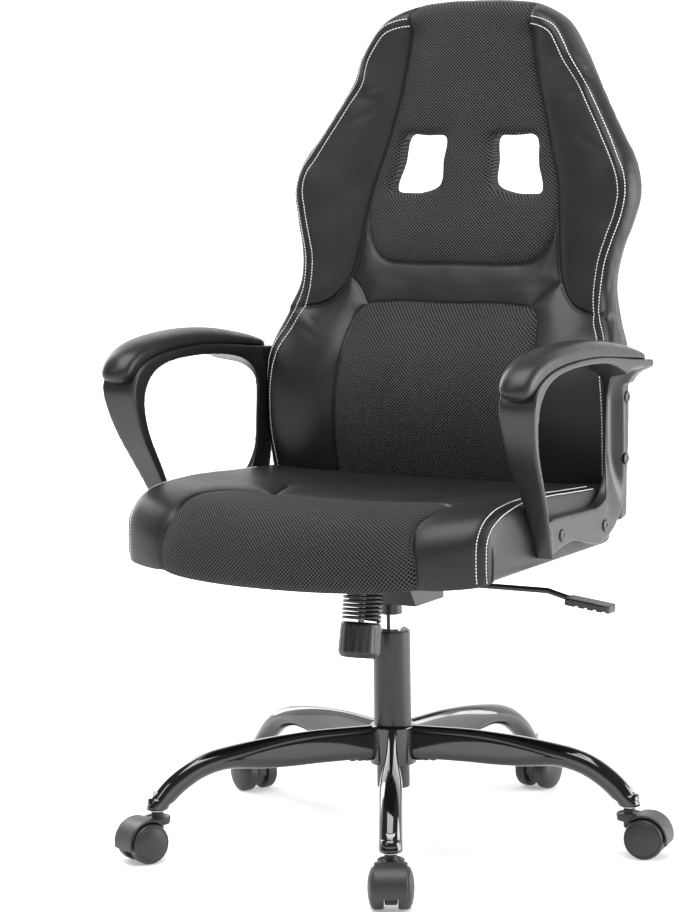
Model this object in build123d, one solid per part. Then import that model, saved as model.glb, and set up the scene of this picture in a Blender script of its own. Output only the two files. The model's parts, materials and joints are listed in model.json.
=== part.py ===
"""Gaming chair with loop arms, a tilting seat, a gas lift and a five-leg caster base.

Millimetres. The origin is on the floor under the swivel axis, +Z is up, the sitter faces -Y,
and +X is the sitter's left. Each function makes one sub-part or one group of like pieces.
"""
import math
import os

from build123d import *

# ---- driving dimensions -------------------------------------------------------------------
BASE_RADIUS = 305.0          # swivel axis to each caster stem
LEG_COUNT = 5
FIRST_LEG_ANGLE = 27.8       # from straight ahead, towards +X
LEG_END_Z = 66.0
HUB_RADIUS, HUB_LOW, HUB_HIGH = 29.0, 97.0, 147.0
TUBE_RADIUS, TUBE_FOOT_RADIUS, TUBE_BORE = 23.5, 20.5, 17.5
TUBE_LOW, TUBE_HIGH = 67.0, 265.0
CYLINDER_RADIUS, CYLINDER_LOW, CYLINDER_SHOULDER, TAPER_TOP = 14.0, 115.0, 287.0, 334.0
ROD_RADIUS, ROD_TOP = 5.0, 235.0
RUNNING_GAP = 0.05           # radial clearance of a shaft that turns or slides
FACE_GAP = 0.3               # between faces of bodies that move past each other
LOOSE_GAP = 0.2              # clearance of a bolt in its hole

WHEEL_RADIUS, WHEEL_WIDTH = 25.0, 16.8
CASTER_TRAIL = 22.0          # stem axis to axle
CASTER_CORE_HALF = 7.6       # half thickness of the hood between its two wheels
STEM_RADIUS, STEM_RING_Z, STEM_TOP = 5.4, 60.0, 84.0
CASTER_TURN = (0.0, 0.0, 0.0, 0.0, 19.0)

PIVOT_Y, PIVOT_Z, PIVOT_RADIUS = -30.0, 350.0, 5.0
HOUSING_HALF, HOUSING_WALL, HOUSING_LOW = 47.0, 2.5, 302.0
BOLT_TOP_Y, BOLT_LEAN = -63.0, 10.0          # the tension bolt leans forward, going down
SEAT_CUP_RADIUS = 25.0       # cup washer of the tension spring
SWING_HOLE_RADIUS = 12.6     # its hole lets the bolt swing with the seat
KNOB_RADIUS, KNOB_HEIGHT, KNOB_TOP = 26.0, 44.0, 287.0      # heights along the leaning bolt
SPRING_TOP, SPRING_RADIUS, SPRING_WIRE, SPRING_PITCH = 333.5, 23.0, 1.9, 5.0
LEVER_Z, LEVER_RADIUS, LEVER_PIVOT_X = 343.0, 3.5, 62.0

SEAT_HALF, SEAT_FRONT, SEAT_REAR = 247.5, -296.0, 114.0
SEAT_LOW, SEAT_HIGH = 374.5, 452.0
BOARD = 12.0
COVER = 2.0
PLATE_TOP = 372.0

ARM_INNER = 248.0
FLANGE_OUTER = 264.5
BACK_HALF, BACK_HIGH, BACK_LOW = 246.0, 1046.0, 400.0

SEAT_BOLTS = ((-60.0, 410.0), (63.0, 405.0))     # (y, z)
BACK_BOLTS = ((129.0, 556.0), (125.0, 480.0))
BOLT_RADIUS, BOLT_REACH, BOLT_HEAD = 4.0, 218.0, 7.5
PLATE_SCREWS = [(x, y) for x in (-72, 72) for y in (-95, 95)]


# ---- helpers ------------------------------------------------------------------------------
def rod_z(radius, low, high, x=0.0, y=0.0):
    """Upright cylinder between two heights."""
    return Pos(x, y, (low + high) / 2) * Cylinder(radius, high - low)


def rod_y(radius, y0, y1, x=0.0, z=0.0):
    """Cylinder along Y."""
    return Pos(x, (y0 + y1) / 2, z) * Rot(90, 0, 0) * Cylinder(radius, y1 - y0)


def rod_x(radius, x0, x1, y=0.0, z=0.0):
    """Cylinder along X."""
    return Pos((x0 + x1) / 2, y, z) * Rot(0, 90, 0) * Cylinder(radius, x1 - x0)


def block(x0, x1, y0, y1, z0, z1):
    """Box from its corners."""
    return Pos((x0 + x1) / 2, (y0 + y1) / 2, (z0 + z1) / 2) * Box(x1 - x0, y1 - y0, z1 - z0)


def prism_x(face, x0, x1):
    """Extrude a face drawn in (y, z) from x0 to x1."""
    return extrude(Plane.YZ.offset(x0) * face, amount=x1 - x0)


def prism_y(face, y0, y1):
    """Extrude a face drawn in (x, z) from y0 to y1."""
    return extrude(Plane.XZ.offset(-y1) * face, amount=y1 - y0)


def on_leg(shape, index, radius=0.0):
    """Place a shape made along +X on leg number index."""
    heading = FIRST_LEG_ANGLE + index * 360 / LEG_COUNT - 90
    return Rot(0, 0, heading) * Pos(radius, 0, 0) * shape


def mirrored(shape):
    """The shape and its mirror image in the middle plane."""
    return [shape, mirror(shape, about=Plane.YZ)]


def solids_of(shapes):
    """All single solids in a list of shapes."""
    found = []
    for shape in shapes:
        found += list(shape.solids())
    return found


def save(node, *shapes):
    """Write one node; several solids stay separate in it."""
    solids = solids_of(shapes)
    body = solids[0] if len(solids) == 1 else Compound(children=solids)
    export_step(body, f"parts/{node}.step")


# ---- base ---------------------------------------------------------------------------------
def base_hub():
    hub = rod_z(HUB_RADIUS, HUB_LOW, HUB_HIGH)
    hub = chamfer(hub.edges().group_by(Axis.Z)[-1], 2.5)
    return hub - rod_z(TUBE_FOOT_RADIUS, HUB_LOW - 1, HUB_HIGH + 1)


def leg_solid():
    """Tube flattened to a tall oval at the hub, round where it curves down to the floor."""
    stations = (                       # radius, height, half height, half width
        (22, 125, 21.0, 7.0),
        (95, 124.5, 21.0, 7.0),
        (150, 122, 20.0, 8.6),
        (185, 121, 17.2, 11.2),
        (212, 121, 13.9, 13.7),
    )
    rings = []
    for radius, height, half_h, half_w in stations:
        plane = Plane(origin=(radius, 0, height), x_dir=(0, 0, 1), z_dir=(1, 0, 0))
        rings.append(plane * Ellipse(half_h, half_w))
    bend = Spline((212, 0, 121), (246, 0, 115), (275, 0, 98), (296, 0, 78),
                  (BASE_RADIUS, 0, LEG_END_Z - 10), tangents=((1, 0, 0), (0, 0, -1)))
    leg = loft(rings) + sweep(rings[-1], path=bend)
    leg -= rod_z(HUB_RADIUS, 80, 170)
    leg -= block(BASE_RADIUS - 60, BASE_RADIUS + 60, -40, 40, 0, LEG_END_Z)
    leg -= rod_z(9.6, LEG_END_Z - 1, 76, x=BASE_RADIUS)
    leg -= rod_z(STEM_RADIUS + RUNNING_GAP, LEG_END_Z, STEM_TOP + 0.5, x=BASE_RADIUS)
    return leg


def caster_socket():
    """Steel sleeve in the open leg end that grips the stem."""
    sleeve = rod_z(9.6, LEG_END_Z, 76) + rod_z(11.5, LEG_END_Z - 2, LEG_END_Z)
    return sleeve - rod_z(STEM_RADIUS + RUNNING_GAP, LEG_END_Z - 3, 77)


def caster_stem():
    """Grip-ring stem: swivel pin below, flange, plain shank above."""
    stem = rod_z(STEM_RADIUS - 0.4, 36.5, STEM_RING_Z)
    stem += rod_z(9.0, STEM_RING_Z, STEM_RING_Z + 3.0)
    stem += rod_z(STEM_RADIUS, STEM_RING_Z + 3.0, STEM_TOP)
    return stem


def lift_tube():
    tube = rod_z(TUBE_RADIUS, HUB_HIGH, TUBE_HIGH) + rod_z(TUBE_FOOT_RADIUS, TUBE_LOW, HUB_HIGH)
    tube -= rod_z(TUBE_BORE, TUBE_LOW + 3, TUBE_HIGH + 1)
    return tube - rod_z(ROD_RADIUS + 0.4, TUBE_LOW - 1, TUBE_LOW + 4)


def lift_bushing():
    """Plastic guide in the top of the tube, with a rim on the tube's end."""
    sleeve = rod_z(TUBE_BORE, 190, TUBE_HIGH) + rod_z(20.5, TUBE_HIGH, TUBE_HIGH + 2.5)
    return sleeve - rod_z(CYLINDER_RADIUS + RUNNING_GAP, 189, TUBE_HIGH + 3)


def thrust_bearing():
    ring = rod_z(15.5, TUBE_LOW + 3, TUBE_LOW + 9)
    return ring - rod_z(ROD_RADIUS + 0.4, TUBE_LOW + 2, TUBE_LOW + 10)


# ---- gas lift -----------------------------------------------------------------------------
def lift_rod():
    rod = rod_z(ROD_RADIUS, TUBE_LOW - 5, ROD_TOP)
    return rod + rod_z(11.0, TUBE_LOW + 9.05, TUBE_LOW + 14)


def rod_clip():
    """Horseshoe clip under the tube that keeps the rod in."""
    ring = rod_z(9.0, TUBE_LOW - 2.1, TUBE_LOW - 0.1)
    return ring - rod_z(ROD_RADIUS, TUBE_LOW - 4, TUBE_LOW + 1)


def lift_cylinder():
    barrel = rod_z(CYLINDER_RADIUS, CYLINDER_LOW, CYLINDER_SHOULDER)
    barrel += rod_z(9.0, CYLINDER_SHOULDER, TAPER_TOP)
    barrel -= rod_z(ROD_RADIUS + RUNNING_GAP, CYLINDER_LOW - 1, 262)
    return barrel - rod_z(3.0 + RUNNING_GAP, TAPER_TOP - 24, TAPER_TOP + 1)


def taper_cone(grow, low, high):
    """Cone frustum of the taper, grown by a clearance."""
    slope = 1.2 / (TAPER_TOP - CYLINDER_SHOULDER)
    bottom = 13.6 + grow - slope * (low - CYLINDER_SHOULDER)
    top = 13.6 + grow - slope * (high - CYLINDER_SHOULDER)
    return Pos(0, 0, (low + high) / 2) * Cone(bottom, top, high - low)


def taper_collar():
    return taper_cone(0, CYLINDER_SHOULDER, TAPER_TOP) - rod_z(9.0, 280, 340)


def release_pin():
    """Valve button that the lever presses."""
    return rod_z(3.0, TAPER_TOP - 16, TAPER_TOP + 4)


# ---- tilt mechanism -----------------------------------------------------------------------
def mechanism_housing():
    """Pressed-steel tray, open on top: low box on the taper, raised floor over the spring."""
    outline = Polyline((-106, 343), (-106, 354), (-14, 354), (6, 345), (52, 334),
                       (52, HOUSING_LOW), (-22, HOUSING_LOW), (-42, 331.7), close=True)
    solid = prism_x(make_face(outline), -HOUSING_HALF, HOUSING_HALF)
    floor = HOUSING_LOW + HOUSING_WALL
    inner = Polyline((-103.5, 345), (-103.5, 360), (49.5, 360), (49.5, floor), (-20.5, floor),
                     (-40.5, 334), close=True)
    hollow = HOUSING_HALF - HOUSING_WALL
    solid -= prism_x(make_face(inner), -hollow, hollow)
    for disc in mirrored(rod_x(12.0, hollow, HOUSING_HALF, PIVOT_Y, PIVOT_Z)):
        solid += disc
    solid -= rod_x(7.0, -60, 60, PIVOT_Y, PIVOT_Z)
    solid -= rod_z(16.5, HOUSING_LOW - 1, HOUSING_LOW + 6)
    solid -= block(-7, 7, -82, -58, 325, 345)
    return solid - block(hollow - 2, 60, -9, 9, 336, 360)


def taper_socket():
    """Tapered steel boss welded through the tray's floor."""
    boss = rod_z(16.5, HOUSING_LOW - 2, TAPER_TOP - 4)
    return boss - taper_cone(0.03, HOUSING_LOW - 3, TAPER_TOP - 3)


def pivot_bushes():
    inner, outer = HOUSING_HALF - HOUSING_WALL, HOUSING_HALF
    bush = rod_x(7.0, inner, outer, PIVOT_Y, PIVOT_Z)
    bush += rod_x(9.0, inner - 1.5, inner, PIVOT_Y, PIVOT_Z)
    bush -= rod_x(PIVOT_RADIUS + RUNNING_GAP, 30, 60, PIVOT_Y, PIVOT_Z)
    return mirrored(bush)


def along_bolt(shape):
    """Place a shape, made on the Z axis at its true height, on the leaning tension bolt."""
    top = (0, BOLT_TOP_Y, PLATE_TOP)
    return Pos(*top) * Rot(-BOLT_LEAN, 0, 0) * Pos(0, 0, -PLATE_TOP) * shape


def spring_seat():
    """Cup washer under the tray that the spring's top coil pushes on."""
    cup = rod_z(SEAT_CUP_RADIUS, SPRING_TOP, SPRING_TOP + 2.3)
    cup -= rod_z(SWING_HOLE_RADIUS, SPRING_TOP - 1, SPRING_TOP + 4)
    return along_bolt(cup)


def tension_spring():
    low = KNOB_TOP + SPRING_WIRE + FACE_GAP
    high = SPRING_TOP - SPRING_WIRE - FACE_GAP
    helix = Helix(pitch=SPRING_PITCH, height=high - low, radius=SPRING_RADIUS)
    start = Plane(origin=helix @ 0, z_dir=helix % 0)
    coil = sweep(start * Circle(SPRING_WIRE), path=helix, is_frenet=True)
    return along_bolt(Pos(0, 0, low) * coil)


def tension_bolt():
    bolt = along_bolt(rod_z(4.0, KNOB_TOP - 36, PLATE_TOP + 5))
    return bolt & block(-20, 20, -200, 0, 200, PLATE_TOP - 3)


def tension_knob():
    """Fluted cylinder with a blind hole for the bolt."""
    knob = rod_z(KNOB_RADIUS, KNOB_TOP - KNOB_HEIGHT, KNOB_TOP)
    knob = fillet(knob.edges().group_by(Axis.Z)[0], 4.0)
    flute = rod_z(1.8, KNOB_TOP - KNOB_HEIGHT - 1, KNOB_TOP - 4, x=KNOB_RADIUS + 0.9)
    for step in range(24):
        knob -= Rot(0, 0, step * 15) * flute
    return along_bolt(knob - rod_z(4.0 + RUNNING_GAP, KNOB_TOP - 38, KNOB_TOP + 1))


def lock_slider():
    """Sliding block that carries the lever; pulling the lever out moves it."""
    x0, x1 = LEVER_PIVOT_X - 32, LEVER_PIVOT_X + 9
    slider = block(x0, x1, -8, 8, 337, 349) - block(x0 - 1, x1 + 1, -4.6, 4.6, 330, 360)
    slider += block(LEVER_PIVOT_X - 4, x1, -8, 8, 337, 338.4)
    return slider - rod_y(2.0, -9, 9, LEVER_PIVOT_X, LEVER_Z)


def lever_pin():
    return rod_y(2.0, -8, 8, LEVER_PIVOT_X, LEVER_Z)


def lever_rod():
    """Bent round rod with a flat tongue over the release pin."""
    path = FilletPolyline((36, 0, LEVER_Z), (88, 0, LEVER_Z), (120, 0, 331), (216, 0, 331),
                          (252, 0, 322), radius=10)
    start = Plane(origin=path @ 0, z_dir=path % 0)
    rod = sweep(start * Circle(LEVER_RADIUS), path=path)
    rod += block(-5, 40, -4, 4, LEVER_Z - 4.4, LEVER_Z - 1.4)
    return rod - rod_y(2.0 + RUNNING_GAP, -20, 20, LEVER_PIVOT_X, LEVER_Z)


def lever_handle():
    """Flat paddle moulded on the rod's end, with finger ridges underneath."""
    paddle = extrude(RectangleRounded(60, 26, 6), amount=9)
    paddle = fillet(paddle.edges().group_by(Axis.Z)[-1], 2.0)
    for step in range(4):
        paddle -= rod_y(3.2, -20, 20, -12 + 12 * step, -1.2)
    paddle = Pos(272, 0, 314) * Rot(0, 7, 0) * paddle
    socket = rod_x(LEVER_RADIUS, -20, 1)
    return paddle - Pos(252, 0, 322) * Rot(0, 14.04, 0) * socket


# ---- seat ---------------------------------------------------------------------------------
def seat_plan(inset):
    """Seat outline from above: bowed front, rounded front corners, square rear."""
    side, rear, front = SEAT_HALF - inset, SEAT_REAR - inset, SEAT_FRONT + inset
    nose = Spline((-side, -190), (-side + 14, -238), (-150, front + 24), (0, front),
                  (150, front + 24), (side - 14, -238), (side, -190))
    return make_face(nose + Polyline((side, -190), (side, rear), (-side, rear), (-side, -190)))


def seat_profile(inset, low):
    """Seat section from the side: flat top that rolls over to a low front lip."""
    top, front = SEAT_HIGH - inset, SEAT_FRONT + inset
    roll = Spline((-130, top), (-215, top - 10), (front + 12, 412), (front, 385), (front + 6, 360))
    rest = Polyline((front + 6, 360), (-240, 360), (-225, low), (SEAT_REAR - inset, low),
                    (SEAT_REAR - inset, top), (-130, top))
    return make_face(roll + rest)


def seat_block(inset, low):
    plan = extrude(Pos(0, 0, 340) * seat_plan(inset), amount=140)
    return plan & prism_x(seat_profile(inset, low), -260, 260)


def bolt_holes(radius):
    """Cylinders along X at every arm bolt, on both sides."""
    holes = [rod_x(radius, BOLT_REACH - 3, 300, y, z) for y, z in SEAT_BOLTS + BACK_BOLTS]
    return sum([mirrored(hole) for hole in holes], [])


def cut(shape, tools):
    for tool in tools:
        shape = shape - tool
    return shape


def plate_holes(low, high, radius):
    return [rod_z(radius, low, high, x, y) for x, y in PLATE_SCREWS]


def seat_parts():
    cleat = block(206, 243, -84, 86, SEAT_LOW + BOARD, 426)
    cleats = [cut(c, bolt_holes(BOLT_RADIUS + LOOSE_GAP)) for c in mirrored(cleat)]
    inner = seat_block(COVER, SEAT_LOW - 1)
    board_zone = extrude(Pos(0, 0, SEAT_LOW) * seat_plan(14), amount=BOARD)
    board = board_zone & block(-260, 260, -236, SEAT_REAR - 4, 340, 500)
    screw_holes = plate_holes(SEAT_LOW - 2, SEAT_LOW + BOARD - 1, 4.0 + LOOSE_GAP)
    board = cut(board, screw_holes)
    foam = (inner & block(-260, 260, -320, 200, SEAT_LOW + BOARD, 500))
    foam += inner & block(-260, 260, -320, -238, 300, SEAT_LOW + BOARD)
    foam = cut(foam, mirrored(cleat) + bolt_holes(BOLT_RADIUS + LOOSE_GAP))
    cover = seat_block(0, SEAT_LOW) - inner
    cover = cut(cover, bolt_holes(BOLT_RADIUS + LOOSE_GAP))
    dust = extrude(Pos(0, 0, PLATE_TOP) * seat_plan(16), amount=SEAT_LOW - PLATE_TOP)
    dust = dust & block(-260, 260, -222, SEAT_REAR - 6, 340, 500)
    dust = cut(dust, plate_holes(360, 380, 4.0 + LOOSE_GAP))
    return board, cleats, foam, cover, dust


def seat_plate():
    """Steel plate with two ears down to the tilt pivot."""
    plate = block(-90, 90, -118, 118, PLATE_TOP - 3, PLATE_TOP)
    plate = fillet(plate.edges().filter_by(Axis.Z), 16)
    ear_in = HOUSING_HALF + 1.0
    ear = block(ear_in, ear_in + 3, -50, -14, PIVOT_Z - 10, PLATE_TOP - 3)
    ear = ear + rod_x(10.0, ear_in, ear_in + 3, PIVOT_Y, PIVOT_Z)
    ear -= rod_x(PIVOT_RADIUS + 0.02, 40, 60, PIVOT_Y, PIVOT_Z)
    for one in mirrored(ear):
        plate += one
    return cut(plate, plate_holes(360, 380, 4.0 + LOOSE_GAP))


def pivot_pin():
    reach = HOUSING_HALF + 7
    pin = rod_x(PIVOT_RADIUS, -reach, reach, PIVOT_Y, PIVOT_Z)
    head = rod_x(8.0, HOUSING_HALF + 4.0, reach, PIVOT_Y, PIVOT_Z)
    return pin + head + mirror(head, about=Plane.YZ)


def plate_screws():
    screws = []
    for x, y in PLATE_SCREWS:
        shank = rod_z(4.0, PLATE_TOP - 3, SEAT_LOW + BOARD - 2, x, y)
        screws.append(shank + rod_z(8.0, PLATE_TOP - 8, PLATE_TOP - 3, x, y))
    return screws


# ---- back ---------------------------------------------------------------------------------
def back_outline(inset):
    """Back seen from the front: broad shoulders at the wings, waist, then full width."""
    high = BACK_HIGH - inset
    half = [(245, 608), (232, 648), (222, 690), (226, 727), (238, 770), (244, 803), (235, 838),
            (208, 883), (178, 934), (147, 991), (122, 1024), (92, 1040)]
    side, low = BACK_HALF - inset, BACK_LOW + inset
    right = [(side, 570)] + [(x - inset, z - inset * 0.6) for x, z in half]
    left = [(-x, z) for x, z in reversed(right)]
    top = Spline(*right, (0, high), *left)
    return make_face(top + Polyline(left[-1], (-side, low), (side, low), right[0]))


def back_front_line(inset):
    """Front of the back from the side: lumbar bulge, then a straight lean."""
    line = [(128, 400), (119, 449), (109, 484), (105, 533), (107, 570), (118, 605), (137, 638),
            (156, 680), (166, 727), (177, 790), (193, 850), (209, 910), (225, 980), (238, 1060)]
    return [(y + inset, z) for y, z in line]


def back_rear_line(inset):
    line = [(286, 1060), (268, 950), (250, 870), (234, 800), (218, 720), (200, 640), (190, 560),
            (188, 480), (186, 400)]
    return [(y - inset, z) for y, z in line]


def back_block(front_inset, rear_inset, edge_inset):
    front, rear = back_front_line(front_inset), back_rear_line(rear_inset)
    side = make_face(Spline(*front) + Line(front[-1], rear[0]) + Spline(*rear)
                     + Line(rear[-1], front[0]))
    return prism_x(side, -260, 260) & prism_y(back_outline(edge_inset), 60, 320)


def window_face(grow):
    """Strap window on the +X side, drawn in (x, z)."""
    g = grow
    corners = ((34 - g, 875 + g), (94 + g, 877 + g), (109 + g, 800 - g), (64, 799 - g),
               (36 - g, 811 - g))
    face = make_face(Polyline(*corners, close=True))
    return fillet(face.vertices(), 5 + g)


def board_slab():
    """Plywood panel that follows the rear of the back."""
    front, rear = back_rear_line(COVER + BOARD), back_rear_line(COVER)
    side = make_face(Spline(*front) + Line(front[-1], rear[-1]) + Spline(*rear)
                     + Line(rear[0], front[0]))
    return prism_x(side, -260, 260) & prism_y(back_outline(14), 60, 320)


def back_parts():
    windows = mirrored(prism_y(window_face(0), 60, 320))
    liners = mirrored(prism_y(window_face(COVER), 60, 320))
    cleat = block(212, 240, 120, 150, 466, 588)
    cleats = [cut(c, bolt_holes(BOLT_RADIUS + LOOSE_GAP)) for c in mirrored(cleat)]
    inner = cut(back_block(COVER, COVER, COVER), liners)
    board = cut(board_slab(), liners) & inner
    holes = bolt_holes(BOLT_RADIUS + LOOSE_GAP)
    foam = cut(inner, [board_slab()] + mirrored(cleat) + holes)
    cover = cut(back_block(0, 0, 0), windows) - inner
    return board, cleats, foam, cut(cover, holes)


# ---- arms ---------------------------------------------------------------------------------
def arm_loop():
    """Closed loop seen from the side: front strut, top rail, rear upright, bottom plate."""
    front = Spline((-98, 386), (-106, 403), (-124, 439), (-151, 481), (-177, 521), (-190, 551),
                   (-194, 576), (-186, 594), (-165, 608), (-130, 616), (-91, 619), (-17, 619),
                   (62, 611), (141, 603))
    rear = Spline((137, 584), (137, 528), (132, 467), (116, 420), (86, 394), (47, 384))
    under = Spline((47, 384), (0, 394), (-30, 398), (-65, 394), (-98, 386))
    outer = make_face(front + Polyline((141, 603), (142, 590), (137, 584)) + rear + under)
    opening = Spline((-112, 434), (-124, 459), (-142, 489), (-159, 518), (-168, 545),
                     (-168, 567), (-154, 588), (-125, 601), (-81, 605.5), (-20, 604.5),
                     (40, 598), (78, 587), (97, 570), (99, 545), (96, 508), (91, 468),
                     (78, 446), (60, 435), (38, 430))
    return prism_x(outer - make_face(opening + Line((38, 430), (-112, 434))), ARM_INNER, 300)


def arm_frame():
    """Arm on the +X side: wide at the top rail, tapering to a flange at seat and back."""
    front_view = Polyline((ARM_INNER, 370), (270, 370), (270.5, 400), (295.5, 578), (297, 640),
                          (ARM_INNER, 640), close=True)
    arm = arm_loop() & prism_y(make_face(front_view), -250, 200)
    arm -= block(FLANGE_OUTER, 310, -95, 200, 370, 436)
    arm -= block(FLANGE_OUTER, 310, 62, 200, 430, 574)
    return cut(arm, bolt_holes(BOLT_RADIUS + LOOSE_GAP))


def arm_pad():
    """Padded rest that wraps down over the front of the rail."""
    top = Spline((126, 609), (80, 623), (20, 634.5), (-50, 640), (-112, 638), (-165, 631),
                 (-202, 617), (-214, 600), (-204, 589), (-190, 588))
    seat = Spline((-190, 588), (-183, 599), (-165, 609), (-130, 617), (-91, 620), (-17, 620),
                  (62, 612), (126, 605.5))
    side = make_face(top + seat + Line((126, 605.5), (126, 609)))
    pad = prism_x(side, ARM_INNER - 1, 299.5)
    return pad - arm_loop()


def arm_bolts():
    bolts = []
    for y, z in SEAT_BOLTS + BACK_BOLTS:
        bolt = rod_x(BOLT_RADIUS, BOLT_REACH, FLANGE_OUTER, y, z)
        head = rod_x(BOLT_HEAD, FLANGE_OUTER, FLANGE_OUTER + 4, y, z)
        bolts += mirrored(bolt + chamfer(head.edges().group_by(Axis.X)[-1], 1.2))
    return bolts


# ---- casters ------------------------------------------------------------------------------
def caster_hood():
    """Swivelling core between the wheels, with the hood that curves over them."""
    core = CASTER_CORE_HALF
    body = rod_y(20.0, -core, core, CASTER_TRAIL, WHEEL_RADIUS)
    body += rod_z(core, 34, STEM_RING_Z - FACE_GAP)
    body += block(0, CASTER_TRAIL, -core, core, 20, 52)
    ring = rod_y(29.5, -25.5, 25.5, CASTER_TRAIL, WHEEL_RADIUS)
    ring -= rod_y(26.6, -26, 26, CASTER_TRAIL, WHEEL_RADIUS)
    wedge = Polyline((CASTER_TRAIL, WHEEL_RADIUS), (CASTER_TRAIL + 80, WHEEL_RADIUS - 20),
                     (CASTER_TRAIL + 80, 110), (CASTER_TRAIL - 60, 110), close=True)
    body += ring & prism_y(make_face(wedge), -40, 40)
    body += rod_y(27.5, -core, core, CASTER_TRAIL, WHEEL_RADIUS) & block(0, 60, -20, 20, 25, 60)
    body -= block(-20, 40, -30, 30, STEM_RING_Z - FACE_GAP, 80)
    body -= rod_z(STEM_RADIUS - 0.4 + RUNNING_GAP, 36.2, 70)
    return body - rod_y(4.0 + RUNNING_GAP, -30, 30, CASTER_TRAIL, WHEEL_RADIUS)


def caster_axle():
    return rod_y(4.0, -24, 24, CASTER_TRAIL, WHEEL_RADIUS)


def caster_wheels():
    inner = CASTER_CORE_HALF + 0.6
    wheel = rod_y(WHEEL_RADIUS, inner, inner + WHEEL_WIDTH, CASTER_TRAIL, WHEEL_RADIUS)
    wheel = fillet(wheel.edges().filter_by(GeomType.CIRCLE), 2.4)
    wheel -= rod_y(4.0, 0, 40, CASTER_TRAIL, WHEEL_RADIUS)
    return [wheel, mirror(wheel, about=Plane.XZ)]


def on_caster(shapes, index):
    """Place shapes made at a caster's stem on caster number index."""
    return [on_leg(Rot(0, 0, CASTER_TURN[index]) * shape, index, BASE_RADIUS) for shape in shapes]


# ---- write every node ---------------------------------------------------------------------
os.makedirs("parts", exist_ok=True)

save("base_hub", base_hub())
leg = leg_solid()
for number in range(LEG_COUNT):
    save(f"base_leg_{number + 1}", on_leg(leg, number))
    save(f"caster_hood_{number + 1}", *on_caster([caster_hood()], number))
    save(f"caster_axle_{number + 1}", *on_caster([caster_axle()], number))
    save(f"caster_wheels_{number + 1}", *on_caster(caster_wheels(), number))
sleeve = caster_socket()
save("caster_sockets", *[on_leg(sleeve, n, BASE_RADIUS) for n in range(LEG_COUNT)])
save("caster_stems", *[on_leg(caster_stem(), n, BASE_RADIUS) for n in range(LEG_COUNT)])

save("lift_tube", lift_tube())
save("lift_bushing", lift_bushing())
save("thrust_bearing", thrust_bearing())
save("lift_rod", lift_rod())
save("rod_clip", rod_clip())
save("lift_cylinder", lift_cylinder())
save("taper_collar", taper_collar())
save("release_pin", release_pin())

save("mechanism_housing", mechanism_housing())
save("taper_socket", taper_socket())
save("pivot_bushes", *pivot_bushes())
save("pivot_pin", pivot_pin())
save("spring_seat", spring_seat())
save("tension_spring", tension_spring())
save("tension_bolt", tension_bolt())
save("tension_knob", tension_knob())
save("lock_slider", lock_slider())
save("lever_pin", lever_pin())
save("lever_rod", lever_rod())
save("lever_handle", lever_handle())

seat_board, seat_cleats, seat_foam, seat_cover, dust_cover = seat_parts()
save("seat_plate", seat_plate())
save("plate_screws", *plate_screws())
save("seat_board", seat_board)
save("seat_cleats", *seat_cleats)
save("seat_foam", seat_foam)
save("seat_cover", seat_cover)
save("dust_cover", dust_cover)

back_board, back_cleats, back_foam, back_cover = back_parts()
save("back_board", back_board)
save("back_cleats", *back_cleats)
save("back_foam", back_foam)
save("back_cover", back_cover)

arm_right_side, arm_left_side = mirrored(arm_frame())
pad_right_side, pad_left_side = mirrored(arm_pad())
save("arm_left", arm_left_side)
save("arm_right", arm_right_side)
save("arm_pad_left", pad_left_side)
save("arm_pad_right", pad_right_side)
save("arm_bolts", *arm_bolts())
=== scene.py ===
"""Looks of the gaming chair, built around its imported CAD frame.

Metres, +Z up, the sitter faces -Y and +X is the sitter's left. Point lists are in millimetres.
"""
import json
import math

import bmesh
import bpy
import numpy as np
from mathutils import Matrix, Vector
from mathutils.bvhtree import BVHTree
from mathutils.geometry import delaunay_2d_cdt
from mathutils.kdtree import KDTree


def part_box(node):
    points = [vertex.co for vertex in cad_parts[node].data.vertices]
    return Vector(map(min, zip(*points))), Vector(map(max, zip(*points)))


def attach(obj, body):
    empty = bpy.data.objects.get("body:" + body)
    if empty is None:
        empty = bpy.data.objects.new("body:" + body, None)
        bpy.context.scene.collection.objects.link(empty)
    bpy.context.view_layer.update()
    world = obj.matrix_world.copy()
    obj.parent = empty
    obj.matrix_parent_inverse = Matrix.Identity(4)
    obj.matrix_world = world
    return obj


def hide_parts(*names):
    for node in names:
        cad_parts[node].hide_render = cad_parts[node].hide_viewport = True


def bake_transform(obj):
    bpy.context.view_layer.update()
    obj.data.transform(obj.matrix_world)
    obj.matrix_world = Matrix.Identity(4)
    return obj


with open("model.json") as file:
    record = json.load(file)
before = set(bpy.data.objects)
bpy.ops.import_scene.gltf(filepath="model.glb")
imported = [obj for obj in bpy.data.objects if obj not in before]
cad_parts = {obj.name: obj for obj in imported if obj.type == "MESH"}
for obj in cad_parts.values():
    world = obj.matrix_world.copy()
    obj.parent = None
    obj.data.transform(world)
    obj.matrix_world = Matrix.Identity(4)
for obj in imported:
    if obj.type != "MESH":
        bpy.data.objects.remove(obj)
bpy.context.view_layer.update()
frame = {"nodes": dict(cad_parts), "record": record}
NODES = frame["nodes"]
MM = 0.001
SIDES = (1, -1)


# ---- camera, lights, floor ------------------------------------------------------------------
CAMERA_PLACE = (1.759, -3.225, 0.955)
CAMERA_YAW, CAMERA_PITCH, CAMERA_ROLL = 29.573, 7.28, -0.876      # degrees
LENS = 117.7


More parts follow.
